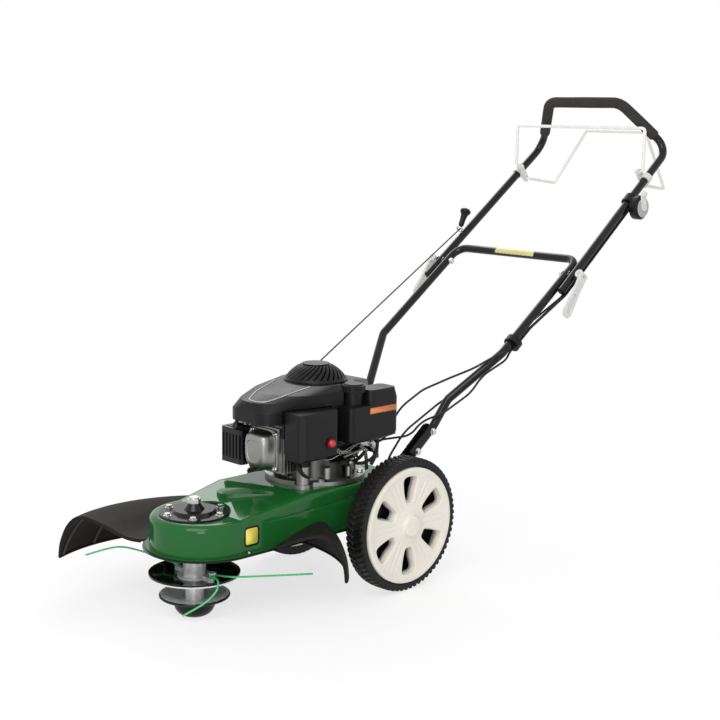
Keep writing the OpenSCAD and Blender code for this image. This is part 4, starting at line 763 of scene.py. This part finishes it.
# %% engine bolts
BOLT_HEAD = [[0.01, 5.4], [2.9, 5.4], [3.6, 4.9], [3.7, 1.2], [0.01, 1.2]]
BOLT_WASHER = [[0.01, 1.2], [4.6, 1.2], [4.9, 0.8], [4.9, -0.3], [0.01, -0.3]]
FRONT, LEFT, UP = (0, -1, 0), (1, 0, 0), (0, 0, 1)
BOLTS = {
    "cover_bolt": (FRONT, [(-33, -154, 120), (41, -154, 120), (-33, -154, 44), (41, -154, 44)]),
    "plate_bolt": (LEFT, [(95, -32, 81), (95, 32, 57)]),
    "lever_bolt": (LEFT, [(104, 70, 80), (105, 88, 58), (108, 52, 66), (116, 0, 47)]),
}
for kind, (direction, places) in BOLTS.items():
    for k, place in enumerate(places):
        for part, outline, sides in (("washer", BOLT_WASHER, 24), ("head", BOLT_HEAD, 6)):
            make_turned(f"{kind}_{k}_{part}", outline, from_crank(place), direction, sides=sides, smooth=25,
                        **dressed("zinc"))

# %% [markdown]
# The governor pulls the throttle with a spring and two thin links. Hoses bring the fuel, a pipe lets the
# crankcase breathe, and two round bowls hang below. Round pieces are tubes along soft paths.

# %% springs, links and hoses
SPRING_RADIUS, SPRING_WIRE, SPRING_TURNS, TURN_STEPS = 0.0036, 0.0007, 13, 14
LINK_RADIUS, HOSE_RADIUS, PIPE_RADIUS = 0.0011, 0.0038, 0.0045
LINK_ROUTES = [[(99, -64, 60), (100, -40, 58), (101, 10, 78), (99, 44, 82)],
               [(107, -26, 76), (110, -4, 70), (108, 30, 88), (100, 58, 90)]]
HOSE_ROUTES = [[(112, 84, 91), (115, 82, 66), (116, 70, 48), (112, 44, 38), (100, 20, 40), (88, -6, 58),
                (80, -30, 74)],
               [(66, -112, 68), (78, -122, 52), (88, -118, 34), (84, -96, 24)]]
PIPE_ROUTE = [(82, 96, 22), (92, 98, 40), (95, 97, 62), (86, 90, 86)]
BOWLS = [((100, -56, 18), 9, 26), ((98, 10, 14), 7, 22)]


def coil(start, end, radius, turns):
    """A helix round the line from start to end, with short straight tails."""
    run = end - start
    _, side, lift = frame_along(run)
    t = np.linspace(0, 1, turns * TURN_STEPS)[:, None]
    a = 2 * math.pi * turns * t
    wound = start + (0.12 + 0.76 * t) * run + radius * (np.cos(a) * side + np.sin(a) * lift)
    return np.vstack([start, start + 0.1 * run, wound, end - 0.1 * run, end])


def hung(points, step=0.003):
    """A soft path through points given in millimetres from the crankshaft."""
    return even_steps(cut_corners(from_crank(points), 3), step)


spring_path = coil(from_crank((103, -30, 70)), from_crank((104, 40, 62)), SPRING_RADIUS, SPRING_TURNS)
make_tube("governor_spring", spring_path, SPRING_WIRE, reference=(0, 1, 0.05), sides=8, **dressed("zinc"))
for k, route in enumerate(LINK_ROUTES):
    make_tube(f"governor_link_{k}", hung(route), LINK_RADIUS, reference=LEFT, sides=10, **dressed("zinc"))
for k, route in enumerate(HOSE_ROUTES):
    make_tube(f"fuel_hose_{k}", hung(route), HOSE_RADIUS, reference=(1, 0.2, 0.1), sides=14,
              **dressed("black_rubber"))
make_tube("breather_pipe", hung(PIPE_ROUTE), PIPE_RADIUS, reference=(1, 0.3, 0), **satin)
for k, (place, radius, height) in enumerate(BOWLS):
    outline = [[0.01, height], [radius - 1, height], [radius, height - 1], [radius, 1], [radius + 2, 0],
               [0.01, 0]]
    make_turned(f"carburettor_bowl_{k}", outline, from_crank(place), UP, smooth=35, **satin)

# %% [markdown]
# Levers and brackets are bent from flat strip: a rectangle in place of the circle, carried along the same
# kind of path.

# %% flat levers
FLAT_CORNERS = np.array([(1, -1), (1, 1), (-1, 1), (-1, -1)])
FLAT_BARS = {
    "control_bracket": ("zinc", 15, 2, [(96, 26, 84), (101, 52, 84), (103, 84, 74), (102, 92, 40)]),
    "governor_arm": ("zinc", 9, 2.2, [(92, 72, 16), (97, 66, 40), (104, 54, 66), (106, 36, 80)]),
    "choke_lever": ("black_plastic", 8, 3, [(106, -24, 50), (114, -2, 46), (114, 26, 52), (108, 48, 62)]),
}
for name, (slot, width, thickness, route) in FLAT_BARS.items():
    path = hung(route)
    side, lift = path_frame(path, LEFT)
    corner = FLAT_CORNERS * [width / 2000, thickness / 2000]
    rings = path[:, None] + corner[:, :1] * side + corner[:, 1:] * lift
    make_piece(name, rings, closed_tube_faces(len(rings), len(corner)), **dressed(slot))

# %% [markdown]
# The blower housing carries a raised line round a plain panel. Its top is a ruled surface between circles
# that get lower towards the front, and a point on it is found by an angle round the circles and a share
# of the way between them. The line runs through chosen pairs of these two numbers.

# %% blower panel line
BLOWER_RINGS = np.array([[86, 0, 216], [90, -62, 203], [76, -118, 190]])
PANEL_LINE = np.array([[-40, 0.06], [-30, 0.3], [-23, 0.74], [-16, 1.2], [-9.5, 1.7], [-5, 1.82], [3, 1.86],
                       [13, 1.86], [22, 1.85], [27, 1.8], [30, 1.62], [33, 1.2], [36, 0.58], [41, 0.08]])
PANEL_SCALE, PANEL_STEP, PANEL_RADIUS = np.array([0.05, 1]), 0.02, 0.0017


def on_blower(turn, share):
    """Between the rings i and i + 1, the point at the same angle on both, in the given share."""
    ring = np.minimum(share.astype(int), 1)
    at = [np.column_stack([r * np.sin(turn), c - r * np.cos(turn), z])
          for r, c, z in (BLOWER_RINGS[ring].T, BLOWER_RINGS[ring + 1].T)]
    return from_crank(at[0] + (share - ring)[:, None] * (at[1] - at[0]))


line = even_steps(cut_corners(PANEL_LINE * PANEL_SCALE, 2), PANEL_STEP) / PANEL_SCALE
finishes["panel_silver"] = new_finish("panel_silver", (0.34, 0.34, 0.33), 0.34, metallic=0.4, drift=0.05)
make_tube("blower_panel_line", on_blower(np.radians(line[:, 0]), line[:, 1]), PANEL_RADIUS,
          finishes["panel_silver"], sides=10, body="chassis")

# %% [markdown]
# Plain strips finish the near side: an orange one on the tank, and a yellow plate with a dark edge on the
# deck. Each is a thin patch with round corners.

# %% plain strips
def side_patch(name, x, middle, size, radius, thickness, finish):
    """A flat patch that faces +X, its corners rounded by quarter circles, with its thickness below the
    surface, all in millimetres."""
    reach = np.array(size) / 2 - radius
    quarter = np.linspace(0, math.pi / 2, 7)
    flat = np.concatenate([middle + reach * sign + radius * np.column_stack([np.cos(a), np.sin(a)])
                           for k, sign in enumerate(((1, 1), (-1, 1), (-1, -1), (1, -1)))
                           for a in [quarter + k * math.pi / 2]])
    points = np.column_stack([np.full(len(flat), x), flat]) / 1000
    patch = make_piece(name, points, [range(len(points))], finishes[finish], body="chassis")
    thicken(patch, thickness / 1000)


finishes["orange_strip"] = new_finish("strip_orange", (0.66, 0.2, 0.045), 0.4, drift=0.04)
finishes["yellow_strip"] = new_finish("strip_yellow", (0.72, 0.6, 0.09), 0.35, drift=0.04)
side_patch("tank_strip", 136.25, (417, 404.5), (80, 13), 1.5, 0.2, "orange_strip")
side_patch("deck_plate_edge", 114.3, (60, 183), (40, 42), 8, 0.25, "black_plastic")
side_patch("deck_plate", 114.5, (60, 183), (32, 34), 5, 0.15, "yellow_strip")

# %% [markdown]
# Some CAD parts are one solid but two finishes on the real machine: the carburettor has a black plate, the
# lower disc has a black rolled rim, and the throttle's clamp is black round a grey disc. The crankcase is
# painted darker above its flange, a painted shade for the shade under the filter cover. The faces that
# change are found from the places of their middles.

# %% second finishes
def paint_faces(node, finish, choose):
    """Gives the faces for which choose(x, y, z) of their middles, in metres, is true a second
    material."""
    part = nodes[node]
    middles = np.empty(3 * len(part.data.polygons))
    part.data.polygons.foreach_get("center", middles)
    turn = np.array(part.matrix_world)
    middles = middles.reshape(-1, 3) @ turn[:3, :3].T + turn[:3, 3]
    chosen = np.asarray(choose(*middles.T), np.int32)
    part.data.materials.append(finishes[finish])
    part.data.polygons.foreach_set("material_index", chosen)
    print(node, int(chosen.sum()), "faces in", finish)


CASE_FLANGE_TOP, OIL_NECK, OIL_NECK_RADIUS = 0.258, (0.072, 0.24), 0.018
PLATE_X, RIM_RADIUS = (0.0919, 0.0955), 0.0722
THROTTLE_DISC, THROTTLE_RADIUS = (1.2175, 0.8221), 0.0235
finishes["alloy_painted_shade"] = new_finish("alloy_painted_shade", (0.07, 0.07, 0.068), 0.36, metallic=1, drift=0.3,
                                    drift_scale=50)
finishes["galvanised"] = new_finish("galvanised", (0.72, 0.74, 0.73), 0.32, metallic=0.35, drift=0.2,
                                    drift_scale=90)
# painted shade: the crankcase turns darker above its flange, where the filter cover shades it
paint_faces("crankcase", "alloy_painted_shade", lambda x, y, z: (z > CASE_FLANGE_TOP)
            & (np.hypot(x - OIL_NECK[0], y - OIL_NECK[1]) > OIL_NECK_RADIUS))
paint_faces("carburettor", "black_paint", lambda x, y, z: (x > PLATE_X[0]) & (x < PLATE_X[1]))
paint_faces("lower_disc", "black_paint", lambda x, y, z: np.hypot(x, y) > RIM_RADIUS)
paint_faces("throttle_housing", "black_plastic",
            lambda x, y, z: np.hypot(y - THROTTLE_DISC[0], z - THROTTLE_DISC[1]) > THROTTLE_RADIUS)
for node in ("head_hub", "lower_disc"):
    nodes[node].data.materials[0] = finishes["galvanised"]
for node in ("upper_disc", "lower_disc"):
    nodes[node].data.shade_smooth()
    nodes[node].data.set_sharp_from_angle(angle=math.radians(50))

# %% [markdown]
# The debris shield is a thin moulding with a soft crest. The CAD turns a line of straight pieces about
# the spindle, and here a smooth curve goes through the same points. The skin is a grid of angle and share
# of the way from the deck's edge to the rim; behind the head, where the deck lies over it, only the
# hanging skirt is left.

# %% shield surface
SHIELD_LINE = np.array([[84, 145], [155, 145.5], [217.2, 168.5], [268, 179], [296.6, 160], [315, 120],
                        [320, 85]]) / 1000
SHIELD_TURN, SHIELD_COLUMNS, SHIELD_ROWS = (39, 207), 300, 60
DECK_ROOM, NOSE_BACK, SKIRT_TOP = 0.1305, 0.025, 0.1435
shield_curve = even_steps(through_points(SHIELD_LINE, 14), 0.002)
curve_length = run_lengths(shield_curve)
skirt_start = curve_length[np.flatnonzero(shield_curve[:, 1] > SKIRT_TOP)[-1]]


def deck_edge(turn):
    """How far the deck's plan reaches from the spindle: out to its straight side behind the nose's
    middle, and else to the nose's circle, whose middle lies behind the spindle."""
    side = DECK_ROOM / np.maximum(np.abs(np.cos(turn)), 1e-6)
    toward = NOSE_BACK * np.sin(turn)
    nose = toward + np.sqrt(DECK_ROOM ** 2 - NOSE_BACK ** 2 + toward ** 2)
    return np.where(side * np.sin(turn) > NOSE_BACK, side, nose)


def on_shield(turn, share):
    """The point at an angle whose length along the curve is the given share from the deck's edge, or from
    the top of the skirt where the deck reaches further, to the rim."""
    start = np.minimum(np.interp(deck_edge(turn), shield_curve[:, 0], curve_length), skirt_start)
    place = start + share * (curve_length[-1] - start)
    radius, height = (np.interp(place, curve_length, column) for column in shield_curve.T)
    return np.stack([radius * np.cos(turn), radius * np.sin(turn), height], axis=-1)


print("shield curve", round(float(curve_length[-1]), 3), "m long")

# %% [markdown]
# The skin joins a flange that is clamped under the deck. The edges are rolled for stiffness, and low ribs
# swing across like spokes that trail behind. Their lighter grey is a painted highlight along them.

# %% shield skin
SHIELD_THICK, BEAD_RADIUS, RIB_RADIUS = 0.004, 0.0034, 0.0032
FLANGE_IN, FLANGE_OUT, FLANGE_Z, FLANGE_OVERLAP, FLANGE_ROWS = 0.084, 0.157, 0.145, 0.002, 8
RIB_FEET, RIB_TRAIL, RIB_BEND = (134, 152, 170, 188), 17, 1.6
finishes["shield_black"] = new_finish("shield_black", (0.012, 0.0105, 0.0095), 0.62, specular=0.12,
                                      drift=0.3, drift_scale=60)
# painted highlight: the ribs are one moulding with the shield, and their lighter grey stands for the light
# along them
finishes["rib_highlight_grey"] = new_finish("rib_highlight_grey", (0.06, 0.054, 0.048), 0.6, specular=0.2)


def shield_sheet(name, points):
    """A grid of points, by angle and by share, that the Solidify modifier makes as thick as the
    moulding."""
    sheet = make_piece(name, points, grid_quads(*points.shape[:2])[:, ::-1], finishes["shield_black"],
                       smooth=60, body="chassis", slot="black_plastic")
    thicken(sheet, SHIELD_THICK)
    return sheet


def shield_bead(name, points, radius, finish="shield_black", reference=(0, 0, 1)):
    """A round bead along a path on the shield."""
    make_tube(name, points, radius, finishes[finish], sides=12, reference=reference, body="chassis",
              slot="black_plastic")


turn = np.radians(np.linspace(*SHIELD_TURN, SHIELD_COLUMNS))[:, None]
share = np.linspace(0, 1, SHIELD_ROWS)
skin = shield_sheet("shield_skin", on_shield(*np.broadcast_arrays(turn, share)))
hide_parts("debris_shield")
flange_end = np.minimum(deck_edge(turn) + FLANGE_OVERLAP, FLANGE_OUT)
reach = FLANGE_IN + np.linspace(0, 1, FLANGE_ROWS) * (flange_end - FLANGE_IN)
shield_sheet("shield_flange",
             np.stack([reach * np.cos(turn), reach * np.sin(turn), FLANGE_Z + 0 * reach], axis=-1))
shield_bead("shield_rim", on_shield(turn[:, 0], np.full(SHIELD_COLUMNS, 0.996)), BEAD_RADIUS * 0.8)
for name, end in (("left", SHIELD_TURN[0] + 0.5), ("front", SHIELD_TURN[1] - 0.5)):
    a = math.radians(end)
    shield_bead("shield_bead_" + name, on_shield(np.full(50, a), np.linspace(0.03, 1, 50)), BEAD_RADIUS,
                reference=(-math.sin(a), math.cos(a), 0))
share = np.linspace(0.02, 0.99, 60)
for k, foot in enumerate(RIB_FEET):
    rib = on_shield(np.radians(foot + RIB_TRAIL * share ** RIB_BEND), share)
    shield_bead(f"shield_rib_{k}", rib, RIB_RADIUS, "rib_highlight_grey")

# %% [markdown]
# The upper disc of the head is pressed from sheet, and its lower lip is left bright.

# %% disc lip
DISC_LIP = np.array([[92.5, 86.4], [94.4, 86.4], [94.8, 87], [94.8, 90], [92.5, 90]]) / 1000
make_piece("disc_lip", lathe(DISC_LIP), faced_out(lathe(DISC_LIP), lathe_faces(len(DISC_LIP), closed=True)),
           finishes["galvanised"], body="cutter_head", slot="zinc")

# %% [markdown]
# Each line is held by a few turns round a hook post of the head. The turns are a short helix, tight on
# the post, so they are rigid and ride on the head.

# %% line wraps
HOOK_REACH, WRAP_RADIUS, WRAP_TURNS, WRAP_FOOT, WRAP_HEIGHT = 0.060, 0.0061, 3, 0.0925, 0.0085
t = np.linspace(0, 1, 60)
a = 2 * math.pi * WRAP_TURNS * t
for name, side in (("near", 1), ("far", -1)):
    wrap = np.column_stack([side * HOOK_REACH + WRAP_RADIUS * np.cos(a), WRAP_RADIUS * np.sin(a),
                            WRAP_FOOT + WRAP_HEIGHT * t])
    make_tube("line_wrap_" + name, wrap, 0.85 * LINE_RADIUS, sides=10,
              **dressed("green_line", "cutter_head"))

# %% [markdown]
# The floor is one large pale sheet. Near the machine the camera sees partly the light that falls on it,
# so that it keeps a soft shadow. Further out it is more and more its own white, so that it ends in the
# white of the backdrop with no horizon.

# %% floor and backdrop
FLOOR_HALF, FLOOR_DROP, FLOOR_GREY = 14.0, 0.0005, (0.9, 0.9, 0.9, 1)
SHADOW_REACH, WHITE_REACH, WHITE_SHARE = 0.6, 2.2, 0.72
WORLD_LIGHT = 0.68


def seen_rays(tree):
    """One for camera, glossy and transmitted rays, and zero for the rays that light other things."""
    rays = new_node(tree, "LightPath").outputs
    seen = math_node(tree, "ADD", rays["Is Camera Ray"], rays["Is Glossy Ray"], clamp=True)
    return math_node(tree, "ADD", seen, rays["Is Transmission Ray"], clamp=True)


def new_stage(name):
    """A pale sheet whose own light, for seen rays, grows from a part to the whole with the distance from
    the machine."""
    material, tree, shader = new_material(name)
    set_inputs(tree, shader, {"Base Color": FLOOR_GREY, "Roughness": 0.9, "Specular IOR Level": 0.1})
    glow = new_node(tree, "Emission", {"Strength": 1.0})
    place = new_node(tree, "TexCoord").outputs["Object"]
    reach = new_node(tree, "VectorMath", {0: place}, operation="LENGTH").outputs["Value"]
    share = new_node(tree, "MapRange", {"Value": reach, "From Min": SHADOW_REACH, "From Max": WHITE_REACH,
                                        "To Min": WHITE_SHARE}, interpolation_type="SMOOTHSTEP")
    part = math_node(tree, "MULTIPLY", seen_rays(tree), share.outputs["Result"])
    mix = new_node(tree, "MixShader", {0: part, 1: shader.outputs[0], 2: glow.outputs[0]})
    set_inputs(tree, tree.nodes["Material Output"], {"Surface": mix.outputs[0]})
    return material


corners = FLOOR_HALF * np.array([[-1, -1, 0], [1, -1, 0], [1, 1, 0], [-1, 1, 0]]) - [0, 0, FLOOR_DROP]
make_piece("floor", corners, [[0, 1, 2, 3]], new_stage("studio_floor"))
scene.world = bpy.data.worlds.new("studio")
scene.world.use_nodes = True
sky = scene.world.node_tree
level = new_node(sky, "MapRange", {"Value": seen_rays(sky), "To Min": WORLD_LIGHT, "To Max": 1.0})
set_inputs(sky, sky.nodes["Background"], {"Color": (1, 1, 1, 1), "Strength": level.outputs["Result"]})
scene.view_settings.view_transform = "Standard"

# %% [markdown]
# Two broad lamps, one above the camera's side and one high behind, give the long highlights on the paint.
# A small low one brightens the wheel and the cutting head.

# %% lamps
def new_lamp(name, place, aim, size, power):
    """A square area lamp that looks from its place at a point."""
    lamp = bpy.data.objects.new(name, bpy.data.lights.new(name, "AREA"))
    lamp.data.size = size
    lamp.data.energy = power
    back = unit(np.array(place, float) - np.array(aim, float))
    right = unit(np.cross([0, 0, 1], back))
    stand(lamp, (right, np.cross(back, right), back), place)


MACHINE_MIDDLE, HEAD_MIDDLE = (0, 0.5, 0.4), (0, 0, 0.1)
new_lamp("key", (1.6, -2.4, 3.2), MACHINE_MIDDLE, 2.6, 85)
new_lamp("back", (-2.4, 2.2, 3.0), MACHINE_MIDDLE, 2.4, 50)
new_lamp("low", (2.3, -2.2, 0.55), HEAD_MIDDLE, 0.9, 20)
print("stage set")
